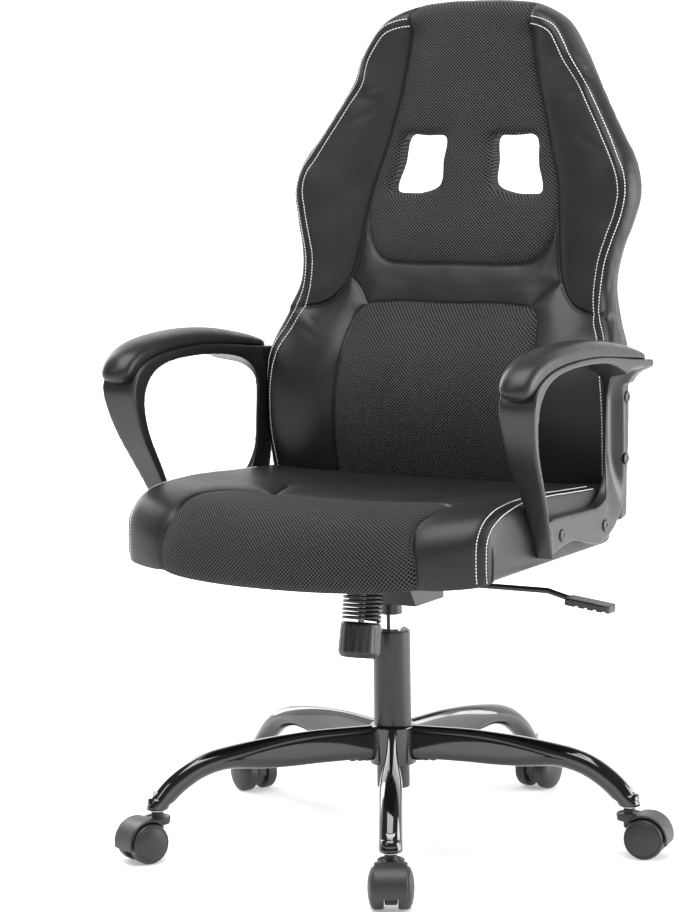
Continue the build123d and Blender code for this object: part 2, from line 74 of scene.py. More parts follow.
def make_camera():
    data = bpy.data.cameras.new("camera")
    data.sensor_fit = "AUTO"
    data.sensor_width = 36.0
    data.lens = LENS
    yaw, pitch, roll = (math.radians(a) for a in (CAMERA_YAW, CAMERA_PITCH, CAMERA_ROLL))
    ahead = Vector((-math.sin(yaw) * math.cos(pitch), math.cos(yaw) * math.cos(pitch), -math.sin(pitch)))
    level = Vector((math.cos(yaw), math.sin(yaw), 0))
    upward = level.cross(ahead)
    right = level * math.cos(roll) + upward * math.sin(roll)
    up = upward * math.cos(roll) - level * math.sin(roll)
    turn = Matrix((right, up, -ahead)).transposed()
    camera = bpy.data.objects.new("camera", data)
    camera.matrix_world = Matrix.Translation(CAMERA_PLACE) @ turn.to_4x4()
    bpy.context.scene.collection.objects.link(camera)
    bpy.context.scene.camera = camera


def area_light(name, place, target, size, power):
    data = bpy.data.lights.new(name, "AREA")
    data.shape = "RECTANGLE"
    data.size, data.size_y = size
    data.energy = power
    light = bpy.data.objects.new(name, data)
    light.location = place
    light.rotation_euler = (Vector(target) - Vector(place)).to_track_quat("-Z", "Y").to_euler()
    bpy.context.scene.collection.objects.link(light)


def add_object(name, verts, faces, materials=()):
    mesh = bpy.data.meshes.new(name)
    mesh.from_pydata([tuple(v) for v in verts], [], [tuple(int(i) for i in f) for f in faces])
    for mat in materials:
        mesh.materials.append(mat)
    mesh.update()
    obj = bpy.data.objects.new(name, mesh)
    bpy.context.scene.collection.objects.link(obj)
    shade_smooth(obj)
    return obj


def tube_faces(rows, around):
    """Quads round a stack of rings of equal count, and a cap at each end."""
    faces = []
    for r in range(rows - 1):
        for i in range(around):
            j = (i + 1) % around
            faces.append((r * around + i, r * around + j, (r + 1) * around + j, (r + 1) * around + i))
    faces.append(tuple(range(around))[::-1])
    faces.append(tuple(range((rows - 1) * around, rows * around)))
    return faces


def shade_smooth(obj):
    obj.data.polygons.foreach_set("use_smooth", [True] * len(obj.data.polygons))


def turn_steps(around):
    return np.arange(around) * 2 * math.pi / around


def make_stage(mat):
    """Pale floor that curves up into a backdrop far behind."""
    profile = [(-30, 6), (-30, 1.5), (-28.5, 0), (5, 0)]
    profile += [(5 + 2 * math.sin(a), 2 - 2 * math.cos(a)) for a in np.linspace(0.15, math.pi / 2, 9)]
    profile += [(7, 7)]
    verts = [(x, y, z) for x in (-30, 30) for y, z in profile]
    count = len(profile)
    faces = [(i, i + 1, i + 1 + count, i + count) for i in range(count - 1)]
    floor = add_object("stage_floor", verts, faces, [mat])
    floor.rotation_euler = (0, 0, math.radians(CAMERA_YAW))


# ---- materials -------------------------------------------------------------------------------
class Nodes:
    """Short way to add and join shader nodes."""

    def __init__(self, name):
        self.mat = bpy.data.materials.new(name)
        self.mat.use_nodes = True
        self.tree = self.mat.node_tree
        self.shader = self.tree.nodes["Principled BSDF"]

    def add(self, kind, **values):
        node = self.tree.nodes.new(kind)
        for key, value in values.items():
            if isinstance(value, bpy.types.NodeSocket):
                self.tree.links.new(value, node.inputs[key])
            elif hasattr(node, key):
                setattr(node, key, value)
            else:
                node.inputs[key].default_value = value
        return node

    def math(self, operation, a, b=0.0, c=0.0):
        node = self.tree.nodes.new("ShaderNodeMath")
        node.operation = operation
        for slot, value in enumerate((a, b, c)):
            if isinstance(value, bpy.types.NodeSocket):
                self.tree.links.new(value, node.inputs[slot])
            else:
                node.inputs[slot].default_value = value
        return node.outputs[0]

    def spread(self, value, low, high, out_low, out_high):
        node = self.add("ShaderNodeMapRange", Value=value)
        for key, number in (("From Min", low), ("From Max", high), ("To Min", out_low), ("To Max", out_high)):
            node.inputs[key].default_value = number
        return node.outputs[0]

    def colours(self, value, first, second):
        node = self.tree.nodes.new("ShaderNodeMix")
        node.data_type = "RGBA"
        self.tree.links.new(value, node.inputs["Factor"])
        node.inputs[6].default_value = (*first, 1)
        node.inputs[7].default_value = (*second, 1)
        return node.outputs[2]

    def place(self, scale=1.0):
        where = self.tree.nodes.new("ShaderNodeTexCoord").outputs["Object"]
        return self.add("ShaderNodeMapping", Vector=where, Scale=(scale, scale, scale)).outputs[0]

    def noise(self, where, scale, detail=3.0):
        return self.add("ShaderNodeTexNoise", Vector=where, Scale=scale, Detail=detail).outputs["Fac"]

    def bump(self, height, depth, strength=1.0, normal=None):
        node = self.add("ShaderNodeBump", Height=height, Distance=depth, Strength=strength)
        if normal is not None:
            self.tree.links.new(normal, node.inputs["Normal"])
        return node.outputs[0]

    def shade(self, **values):
        for key, value in values.items():
            slot = self.shader.inputs[key.replace("_", " ")]
            if isinstance(value, bpy.types.NodeSocket):
                self.tree.links.new(value, slot)
            else:
                slot.default_value = value
        return self.mat


def grey(level):
    return (level, level, level)


def leather(name, dark, light, rough):
    """Satin leather-look vinyl: pebbled grain, faint creases, sheen that varies slowly."""
    n = Nodes(name)
    where = n.place()
    slow = n.noise(where, 7.0, 2.0)
    grain = n.add("ShaderNodeTexVoronoi", Vector=where, Scale=750.0, feature="SMOOTH_F1").outputs["Distance"]
    crease = n.noise(where, 160.0, 5.0)
    height = n.math("ADD", n.math("MULTIPLY", grain, 0.55), crease)
    return n.shade(
        Base_Color=n.colours(slow, dark, light),
        Roughness=n.spread(n.math("ADD", slow, n.math("MULTIPLY", crease, 0.4)), 0.4, 1.1,
                           rough - 0.05, rough + 0.07),
        Specular_IOR_Level=0.34, Normal=n.bump(height, 0.00022, 0.55))


def weave(name, strand, hole):
    """Spacer mesh: grey strands round staggered diamond holes, which are painted near black as painted shade
    in the holes.
    """
    n = Nodes(name)
    flat = n.add("ShaderNodeAttribute", attribute_name="cloth_place").outputs["Vector"]
    wobble = n.noise(n.place(), 60.0, 2.0)
    parts = n.add("ShaderNodeSeparateXYZ", Vector=flat)
    across = n.math("MULTIPLY_ADD", parts.outputs[0], 2 * math.pi / 0.0047, n.math("MULTIPLY", wobble, 1.1))
    along = n.math("MULTIPLY", parts.outputs[1], 2 * math.pi / 0.0047)
    cell = n.math("MULTIPLY", n.math("COSINE", across), n.math("COSINE", along))
    open_part = n.add("ShaderNodeMapRange", Value=cell, interpolation_type="SMOOTHSTEP")
    open_part.inputs["From Min"].default_value = -0.12
    open_part.inputs["From Max"].default_value = 0.34
    thread = n.math("SINE", n.math("MULTIPLY", n.math("ADD", across, along), 5.0))
    fibre_relief_and_shade = n.spread(thread, -1, 1, 0.0, 0.35)
    slow = n.noise(n.place(), 11.0, 2.0)
    # Strands painted lighter where the fibre relief stands up and darker between: painted shade, added to the
    # random slow tone.
    strand_tone = n.colours(n.math("ADD", n.math("MULTIPLY", slow, 0.6), fibre_relief_and_shade), strand[0], strand[1])
    # The holes take the hole colour, near black: painted shade in the holes.
    mix = n.tree.nodes.new("ShaderNodeMix")
    mix.data_type = "RGBA"
    n.tree.links.new(open_part.outputs[0], mix.inputs["Factor"])
    n.tree.links.new(strand_tone, mix.inputs[6])
    mix.inputs[7].default_value = (*hole, 1)
    height = n.math("SUBTRACT", fibre_relief_and_shade, n.math("MULTIPLY", open_part.outputs[0], 2.0))
    return n.shade(Base_Color=mix.outputs[2], Roughness=n.spread(open_part.outputs[0], 0, 1, 0.62, 0.9),
                   Specular_IOR_Level=0.12, Normal=n.bump(height, 0.0005, 0.8))


def moulded(name, dark, light, rough, grain_scale=900.0, grain_depth=0.00008, **sockets):
    """Moulded plastic or coated metal: slow tone change, fine texture, a little rub wear in the sheen."""
    n = Nodes(name)
    where = n.place()
    slow = n.noise(where, 9.0, 3.0)
    grain = n.noise(where, grain_scale, 2.0)
    rub = n.noise(where, 45.0, 4.0)
    return n.shade(
        Base_Color=n.colours(slow, dark, light),
        Roughness=n.spread(n.math("ADD", n.math("MULTIPLY", rub, 0.6), slow), 0.4, 1.2,
                           rough * 0.85, rough * 1.2),
        Normal=n.bump(grain, grain_depth, 0.6), **sockets)


def thread_material():
    n = Nodes("stitch_thread")
    where = n.place()
    twist_relief_and_shade = n.add("ShaderNodeTexWave", Vector=where, Scale=420.0, bands_direction="DIAGONAL").outputs["Fac"]
    # The thread is painted lighter on the ridges of its twist and darker in the grooves: painted shade, on
    # top of the twist's bump.
    return n.shade(Base_Color=n.colours(twist_relief_and_shade, grey(0.62), grey(0.86)), Roughness=0.7,
                   Normal=n.bump(twist_relief_and_shade, 0.0002, 0.6))


def backdrop_material():
    n = Nodes("stage_white")
    where = n.place()
    slow = n.noise(where, 0.6, 1.0)
    far = n.add("ShaderNodeVectorMath", operation="LENGTH")
    n.tree.links.new(where, far.inputs[0])
    # Painted light: the floor and backdrop glow, at 0.30 within 0.5 m of the chair rising to 0.85 from 2.4 m
    # out, so the floor is painted brighter far away and darker near the chair.
    painted_glow = n.spread(far.outputs["Value"], 0.5, 2.4, 0.30, 0.85)
    return n.shade(Base_Color=n.colours(slow, grey(0.9), grey(0.92)), Roughness=0.75,
                   Emission_Color=(1, 1, 1, 1), Emission_Strength=painted_glow)


M = {
    "leather": leather("leather_black", grey(0.0065), grey(0.0115), 0.44),
    "strip": leather("leather_strip", grey(0.004), grey(0.007), 0.46),
    "pad": leather("pad_skin", grey(0.010), grey(0.016), 0.38),
    # mesh holes painted near black (0.0012): painted shade in the holes
    "weave": weave("mesh_fabric", (grey(0.042), grey(0.075)), grey(0.0012)),
    "thread": thread_material(),
    "gloss": moulded("gloss_black_enamel", grey(0.003), grey(0.005), 0.09, 300.0, 0.00002,
                     Coat_Weight=0.6, Coat_Roughness=0.05),
    "satin_steel": moulded("satin_black_steel", grey(0.008), grey(0.014), 0.33, 700.0, 0.00005),
    "arm": moulded("arm_black", grey(0.009), grey(0.014), 0.34, 1100.0, 0.00004),
    "caster": moulded("caster_nylon", grey(0.014), grey(0.022), 0.44, 1200.0, 0.00009),
    "plastic": moulded("black_moulding", grey(0.007), grey(0.012), 0.36, 1000.0, 0.00007),
    "chrome": moulded("chrome", grey(0.65), grey(0.85), 0.10, 500.0, 0.00001, Metallic=1.0),
    "zinc": moulded("zinc_steel", grey(0.30), grey(0.45), 0.32, 800.0, 0.00003, Metallic=1.0),
    "dark_steel": moulded("dark_spring_steel", grey(0.006), grey(0.012), 0.32, 900.0, 0.00003),
    "board": moulded("plywood", (0.20, 0.13, 0.07), (0.33, 0.22, 0.12), 0.7, 240.0, 0.0002),
    "foam": moulded("foam_grey", grey(0.25), grey(0.33), 0.95, 1400.0, 0.0004),
    "lining": moulded("lining_cloth", grey(0.006), grey(0.010), 0.9, 1600.0, 0.0002),
    "bearing": moulded("bearing_steel", grey(0.4), grey(0.5), 0.25, 700.0, 0.00003, Metallic=1.0),
}
SLOT_LOOK = {
    "cover_leather": "leather", "pad_leather": "pad", "foam": "foam", "lining": "lining", "board": "board",
    "base_steel": "gloss", "frame_steel": "satin_steel", "chrome": "chrome", "zinc": "zinc",
    "black_plastic": "plastic", "caster_plastic": "caster", "spring_steel": "dark_steel",
}


# ---- curve and mesh helpers ------------------------------------------------------------------
LINE_STEP = 5.0          # mm between the points of a seam


def smooth_line(points, step=LINE_STEP, closed=False):
    """Points about step apart on a chord-length Catmull-Rom curve through the given ones."""
    p = np.array(points, float)
    if closed:
        p = np.vstack([p[-1], p, p[0], p[1]])
    else:
        p = np.vstack([2 * p[0] - p[1], p, 2 * p[-1] - p[-2]])
    found = []
    for i in range(1, len(p) - 2):
        a, b, c, d = p[i - 1:i + 3]
        before, span, after = (max(np.linalg.norm(q), 1e-9) for q in (b - a, c - b, d - c))
        start = (c - b) + span * ((b - a) / before - (c - a) / (before + span))
        end = (c - b) + span * ((d - c) / after - (d - b) / (span + after))
        for t in np.arange(max(1, round(span / step))) / max(1, round(span / step)):
            found.append((2 * t**3 - 3 * t**2 + 1) * b + (t**3 - 2 * t**2 + t) * start
                         + (3 * t**2 - 2 * t**3) * c + (t**3 - t**2) * end)
    if not closed:
        found.append(p[-2])
    return np.array(found)


def mirror_line(half):
    """A line given from one end to the middle plane, carried on to the other side."""
    half = np.array(half, float)
    other = (half[:-1] if abs(half[-1][0]) < 1e-6 else half)[::-1] * ([-1] + [1] * (half.shape[1] - 1))
    return np.vstack([half, other])


def offset_line(line, amount):
    """The line moved sideways in its plane; positive is to the right of its direction."""
    way = np.gradient(line, axis=0)
    way /= np.linalg.norm(way, axis=1)[:, None]
    return line + amount * np.stack([way[:, 1], -way[:, 0]], 1)


def inside(points, polygon):
    x, y = points[:, 0], points[:, 1]
    a, b = polygon, np.roll(polygon, -1, axis=0)
    hit = np.zeros(len(points), bool)
    for (ax, ay), (bx, by) in zip(a, b):
        if ay != by:
            hit ^= ((ay > y) != (by > y)) & (x < (bx - ax) * (y - ay) / (by - ay) + ax)
    return hit


def flat_tree(points):
    tree = KDTree(len(points))
    for number, (x, y) in enumerate(points):
        tree.insert((x, y, 0), number)
    tree.balance()
    return tree


def gap_to(points, *lines, closed=False):
    """Distance from each point to the nearest of some polylines, which are cut finely first."""
    dense = []
    for line in lines:
        ends = np.vstack([line, line[:1]]) if closed else np.asarray(line)
        run = np.concatenate([[0], np.cumsum(np.linalg.norm(np.diff(ends, axis=0), axis=1))])
        at = np.linspace(0, run[-1], int(run[-1] / 0.6) + 2)
        dense.append(np.stack([np.interp(at, run, ends[:, k]) for k in (0, 1)], 1))
    tree = flat_tree(np.vstack(dense))
    return np.array([tree.find((x, y, 0))[2] for x, y in points])


def groove(points, size, *lines):
    """Depth of a soft groove of (depth, half width) along the lines."""
    return size[0] * np.exp(-(gap_to(points, *lines) / size[1])**2)


def rounded(gap, radius):
    """How far a face falls away at gap from an edge that is rounded to radius."""
    inner = np.clip(radius - gap, 0, radius)
    return radius - np.sqrt(np.maximum(radius**2 - inner**2, 0))


def hex_points(low, high, step):
    rows = np.arange(low[1], high[1], step * 0.866)
    return np.array([(x + (k % 2) * step / 2, y) for k, y in enumerate(rows)
                     for x in np.arange(low[0], high[0], step)])


def triangulate(loops, lines, rings, step, keep):
    """Triangles in a flat region whose edges follow every loop and line.

    Returns points, triangles and, for each loop, the numbers of its points.
    """
    points, edges, owners = [], [], []
    for group, closed in ((loops, True), (lines, False)):
        for line in group:
            first = len(points)
            points += [tuple(p) for p in line]
            numbers = list(range(first, len(points)))
            edges += list(zip(numbers, numbers[1:]))
            if closed:
                edges.append((numbers[-1], numbers[0]))
                owners.append(numbers)
    solid = np.array(points)
    extra = []
    for ring in rings:
        extra.append(ring[gap_to(ring, *[np.vstack([s, s[:1]]) for s in loops], *lines) > step * 0.18])
    grid = hex_points(solid.min(0), solid.max(0), step)
    barrier = [np.vstack([s, s[:1]]) for s in loops] + list(lines) + list(rings)
    extra.append(grid[gap_to(grid, *barrier) > step * 0.55])
    points += [tuple(p) for block in extra for p in block]
    made = delaunay_2d_cdt([Vector(p) for p in points], edges, [], 0, 1e-4, True)
    flat = np.array([tuple(v) for v in made[0]])
    where = {old: new for new, olds in enumerate(made[3]) for old in olds}
    faces = np.array([f for f in made[2] if len(f) == 3])
    faces = faces[keep(flat[faces].mean(1))]
    used = np.unique(np.concatenate([faces.ravel(), [where[n] for numbers in owners for n in numbers]]))
    renumber = np.zeros(len(flat), int)
    renumber[used] = np.arange(len(used))
    return flat[used], renumber[faces], [[int(renumber[where[n]]) for n in numbers] for numbers in owners]


def thin_plate(places, values):
    """Smooth function of two coordinates through the given values."""
    places, values = np.array(places, float), np.array(values, float)

    def kernel(a, b):
        r2 = ((a[:, None, :] - b[None])**2).sum(2)
        return 0.5 * r2 * np.log(np.maximum(r2, 1e-12))

    count = len(places)
    ones = np.hstack([np.ones((count, 1)), places])
    system = np.zeros((count + 3, count + 3))
    system[:count, :count] = kernel(places, places) + np.eye(count) * 6.0
    system[:count, count:] = ones
    system[count:, :count] = ones.T
    weights = np.linalg.solve(system, np.concatenate([values, np.zeros(3)]))

    def value(points):
        return kernel(points, places) @ weights[:count] + weights[count] + points @ weights[count + 1:]

    return value


def coords(obj, field="co"):
    flat = np.zeros(len(obj.data.vertices) * 3)
    obj.data.vertices.foreach_get(field, flat)
    return flat.reshape(-1, 3)


def set_coords(obj, places):
    obj.data.vertices.foreach_set("co", np.asarray(places, np.float32).ravel())
    obj.data.update()


def put_vectors(obj, name, values):
    field = obj.data.attributes.get(name) or obj.data.attributes.new(name, "FLOAT_VECTOR", "POINT")
    field.data.foreach_set("vector", np.asarray(values, np.float32).ravel())


def get_vectors(obj, name):
    flat = np.zeros(len(obj.data.vertices) * 3, np.float32)
    obj.data.attributes[name].data.foreach_get("vector", flat)
    return flat.reshape(-1, 3).astype(float)


def bake_modifiers(obj):
    """Apply every modifier; custom point data is carried along."""
    graph = bpy.context.evaluated_depsgraph_get()
    graph.update()
    mesh = bpy.data.meshes.new_from_object(obj.evaluated_get(graph), depsgraph=graph)
    obj.modifiers.clear()
    obj.data = mesh


def subdivide(obj, levels=1):
    mod = obj.modifiers.new("finer", "SUBSURF")
    mod.levels = levels
    mod.render_levels = levels
    mod.boundary_smooth = "PRESERVE_CORNERS"
    bake_modifiers(obj)


CLOTH = {"quality": 5, "mass": 0.3, "tension_stiffness": 12, "compression_stiffness": 12,
         "shear_stiffness": 6, "bending_stiffness": 0.4}


def blow_up(obj, held, pressure, cap, slack, calm=5, frames=20):
    """Cloth simulation: air pressure fills the panels between the held points, at most cap out.

    calm is how many times the travel is evened out, which leaves only the broad folds.
    """
    rest = coords(obj)
    group = obj.vertex_groups.new(name="held")
    group.add([int(i) for i in np.flatnonzero(held)], 1.0, "REPLACE")
    mod = obj.modifiers.new("cloth", "CLOTH")
    for key, value in CLOTH.items():
        setattr(mod.settings, key, value)
    mod.settings.shrink_min = slack
    mod.settings.use_pressure = True
    mod.settings.uniform_pressure_force = pressure
    mod.settings.vertex_group_mass = "held"
    mod.settings.effector_weights.gravity = 0
    mod.collision_settings.use_collision = False
    mod.point_cache.frame_start = 1
    mod.point_cache.frame_end = frames
    scene = bpy.context.scene
    for number in range(1, frames + 1):
        scene.frame_set(number)
    moved = np.zeros(len(rest) * 3)
    evaluated = obj.evaluated_get(bpy.context.evaluated_depsgraph_get())
    evaluated.data.vertices.foreach_get("co", moved)
    obj.modifiers.remove(mod)
    obj.vertex_groups.remove(group)
    scene.frame_set(1)
    travel = moved.reshape(-1, 3) - rest
    size = np.maximum(np.linalg.norm(travel, axis=1), 1e-12)
    travel *= (cap * np.tanh(size / cap) / size)[:, None]
    pairs = np.zeros(len(obj.data.edges) * 2, int)
    obj.data.edges.foreach_get("vertices", pairs)
    first, second = pairs.reshape(-1, 2).T
    count = np.bincount(pairs, minlength=len(rest))[:, None]
    for _ in range(calm):
        total = np.zeros_like(travel)
        np.add.at(total, first, travel[second])
        np.add.at(total, second, travel[first])
        travel = 0.4 * travel + 0.6 * total / count
        travel[held] = 0
    set_coords(obj, rest + travel)


# ---- back cushion ----------------------------------------------------------------------------
BACK_OUTLINE = (
    (246, 400), (246, 480), (246, 545), (246, 575), (244, 610), (233, 646), (223, 688), (226, 727),
    (237, 768), (243, 803), (235, 838), (208, 883), (178, 934), (149, 987), (124, 1021), (92, 1038),
    (45, 1045), (0, 1046))
WINDOW = (
    (35.5, 873), (62, 875), (93, 874.5), (100.5, 838), (106.5, 802.5), (88, 800.5), (62, 802), (38, 812),
    (36, 842))
WING_SEAM = (
    (85, 1046), (85, 1011), (87, 991), (90, 972), (98, 934), (108, 896), (119, 854), (129, 822), (136, 783),
    (143, 730), (152, 692), (161, 677), (176, 662), (192, 656), (206, 654))
WING_SEAM_Y = (240, 237, 235, 234, 232, 229, 222, 216, 205, 192, 181, 174, 167, 163, 158)
MESH_FOOT = ((136, 781), (134.5, 762), (128, 740), (117, 723), (101, 714.5), (78, 712.5), (0, 712))
BELT_SEAM = ((152, 692), (141, 685), (129, 673), (119, 659.5))
LUMBAR = (
    (142, 400), (142.5, 486), (141, 520), (136.5, 590), (133, 630), (128, 649), (117, 659), (98, 661.5),
    (0, 662))
INNER_STITCH = (
    (86, 231, 1017), (102, 230, 1014), (119, 228, 1006), (129, 226, 992), (141, 224, 970), (156, 223, 940),
    (169, 217, 919), (186, 210, 891), (201, 203, 866), (213, 197, 845), (223, 189, 827), (227, 186, 806),
    (223, 184, 780), (213, 177, 747), (206, 173, 721), (204, 168, 699), (205, 160, 670), (209, 152, 651),
    (219, 139, 627), (230, 120, 600), (236, 112, 566), (238, 111, 533), (238, 112, 508), (237, 115, 484),
    (234, 122, 449), (232, 132, 400))
CENTRE_LINE = (
    (241, 1046), (238, 1011), (236, 972), (234, 934), (230, 896), (223, 854), (206, 783), (193, 735),
    (182, 700), (170, 664), (152, 638), (126, 605), (113, 570), (110, 533), (114, 484), (120, 449),
    (131, 400))
REAR_LINE = (
    (286, 1060), (268, 950), (250, 870), (234, 800), (218, 720), (200, 640), (190, 560), (188, 480),
    (186, 400))
REAR_EASE = 2.0          # the cover stands a little off the board behind it
STITCH_APART, STRIP_MARGIN = 9.4, 1.4
BACK_STEP = 6.0
WING_CROWN, MESH_CROWN, BELT_CROWN, FLANK_CROWN, LUMBAR_CROWN = (
    (13.0, 13.0), (8.0, 13.0), (6.0, 13.0), (8.0, 14.0), (9.0, 13.0))     # height, reach
FRONT_EDGE = ((600, 680), (10.0, 15.0))                   # heights, rounding of the front's edge there
REAR_EDGE = ((560, 700, 780), (36.0, 30.0, 14.0))         # heights, how far the rear's edge falls there
REAR_EDGE_WIDTH, WINDOW_ROUNDING, WINDOW_REAR_ROUNDING = 13.0, 13.0, 1.2
EDGE_RINGS, WINDOW_RINGS, CREASE_RINGS = (0.8, 3.0, 6.5, 11.0), (1.0, 3.2, 6.2, 10.0), (-5.0, -2.2, 2.2, 5.0)
REAR_RINGS = (0.8, 3.0, 6.5, 10.0, 14.0, 20.0)
WALL_ROWS, WALL_BULGE = 7, 2.4
SEAM_GROOVE, STRIP_GROOVE = (2.4, 2.2), (0.9, 1.3)        # depth, half width


class BackShape:
    """Where the front of the back cushion lies, from its seams and the crown of each panel."""

    def __init__(self):
        self.outline = mirror_line(smooth_line(BACK_OUTLINE))
        low = np.linspace(-246, 246, 83)[1:-1]
        self.loop = np.vstack([self.outline, np.stack([low, np.full(len(low), 400.0)], 1)])
        self.windows = [smooth_line(np.array(WINDOW) * (side, 1), 3.2, closed=True) for side in SIDES]
        self.inner = smooth_line(INNER_STITCH)[:, (0, 2)]
        self.outer = offset_line(self.inner, -STITCH_APART)
        both = [lambda line, side=side: line * (side, 1) for side in SIDES]
        seam, belt, foot, lumbar = (smooth_line(p) for p in (WING_SEAM, BELT_SEAM, MESH_FOOT, LUMBAR))
        strip = [offset_line(self.inner, -STRIP_MARGIN), offset_line(self.inner, STRIP_MARGIN - STITCH_APART)]
        self.strips = [b(line) for line in strip for b in both]
        self.strip_zones = [np.vstack([b(strip[0]), b(strip[1])[::-1]]) for b in both]
        cut, cut_low = (np.searchsorted(-seam[:, 1], -end[0][1]) for end in (MESH_FOOT, BELT_SEAM))
        self.mesh_zone = mirror_line(np.vstack([[85, 1060], seam[:cut], foot]))
        self.lumbar_zone = mirror_line(lumbar)
        self.belt_zone = mirror_line(np.vstack([lumbar[-1:], belt[::-1], seam[cut:cut_low][::-1], foot]))
        outside = [[260, 654], [260, 380], [0, 380], [0, 662]]
        self.flank_zones = [b(np.vstack([seam[cut_low:], outside, belt[::-1]])) for b in both]
        self.creases = [b(line) for line in (seam, belt) for b in both]
        self.creases += [mirror_line(foot), self.lumbar_zone]
        known = [(x * side, z, y) for x, y, z in INNER_STITCH for side in SIDES]
        known += [(x * side, z, y) for (x, z), y in zip(WING_SEAM, WING_SEAM_Y) for side in SIDES]
        known += [(x, z, y) for y, z in CENTRE_LINE for x in (0, 60, -60)]
        line = np.array(CENTRE_LINE, float)[::-1]
        known += [(x, z, np.interp(z, line[:, 1], line[:, 0]) + 1) for z in (600, 540, 480, 420)
                  for x in (141, -141)]
        places, values = [(x, z) for x, z, _ in known], [y for _, _, y in known]
        places = np.array(places, float)
        lifted = np.array(values) + self.crown(places)
        centre = np.abs(places[:, 0]) < 150
        lifted[centre] = np.array(values)[centre]
        self.base = thin_plate(places, lifted)

    def crown(self, points):
        """How far each point stands in front of the seams round its panel."""
        gap = gap_to(points, *self.creases)
        height, reach = (np.full(len(points), value) for value in WING_CROWN)
        zones = [(zone, FLANK_CROWN) for zone in self.flank_zones] + [
            (self.belt_zone, BELT_CROWN), (self.mesh_zone, MESH_CROWN), (self.lumbar_zone, LUMBAR_CROWN)]
        for zone, (high, far) in zones:
            held = inside(points, zone)
            height[held] = high
            reach[held] = far
        return height * (1 - np.exp(-gap / reach))

    def front(self, points):
        edge = gap_to(points, self.outline)
        hole = gap_to(points, *self.windows, closed=True)
        radius = np.interp(points[:, 1], *FRONT_EDGE)
        return self.base(points) - self.crown(points) + rounded(edge, radius) + rounded(hole, WINDOW_ROUNDING)

    def rear(self, points):
        line = np.array(REAR_LINE, float)[::-1]
        edge = gap_to(points, self.outline)
        hole = gap_to(points, *self.windows, closed=True)
        level = np.interp(points[:, 1], line[:, 1], line[:, 0])
        fall = rounded(edge, REAR_EDGE_WIDTH) * np.interp(points[:, 1], *REAR_EDGE) / REAR_EDGE_WIDTH
        return level + REAR_EASE - fall - rounded(hole, WINDOW_REAR_ROUNDING)


def wall(near, far, rows, first, spread):
    """Rings between two loops of equal length. Returns the new points and the quads."""
    count = len(near)
    points, faces = [], []
    numbers = [near] + [[first + r * count + i for i in range(count)] for r in range(rows)] + [far]
    for row in range(rows):
        points.append(spread((row + 1) / (rows + 1)))
    for a, b in zip(numbers, numbers[1:]):
        for i in range(count):
            j = (i + 1) % count
            faces.append((a[i], a[j], b[j], b[i]))
    return np.vstack(points), faces


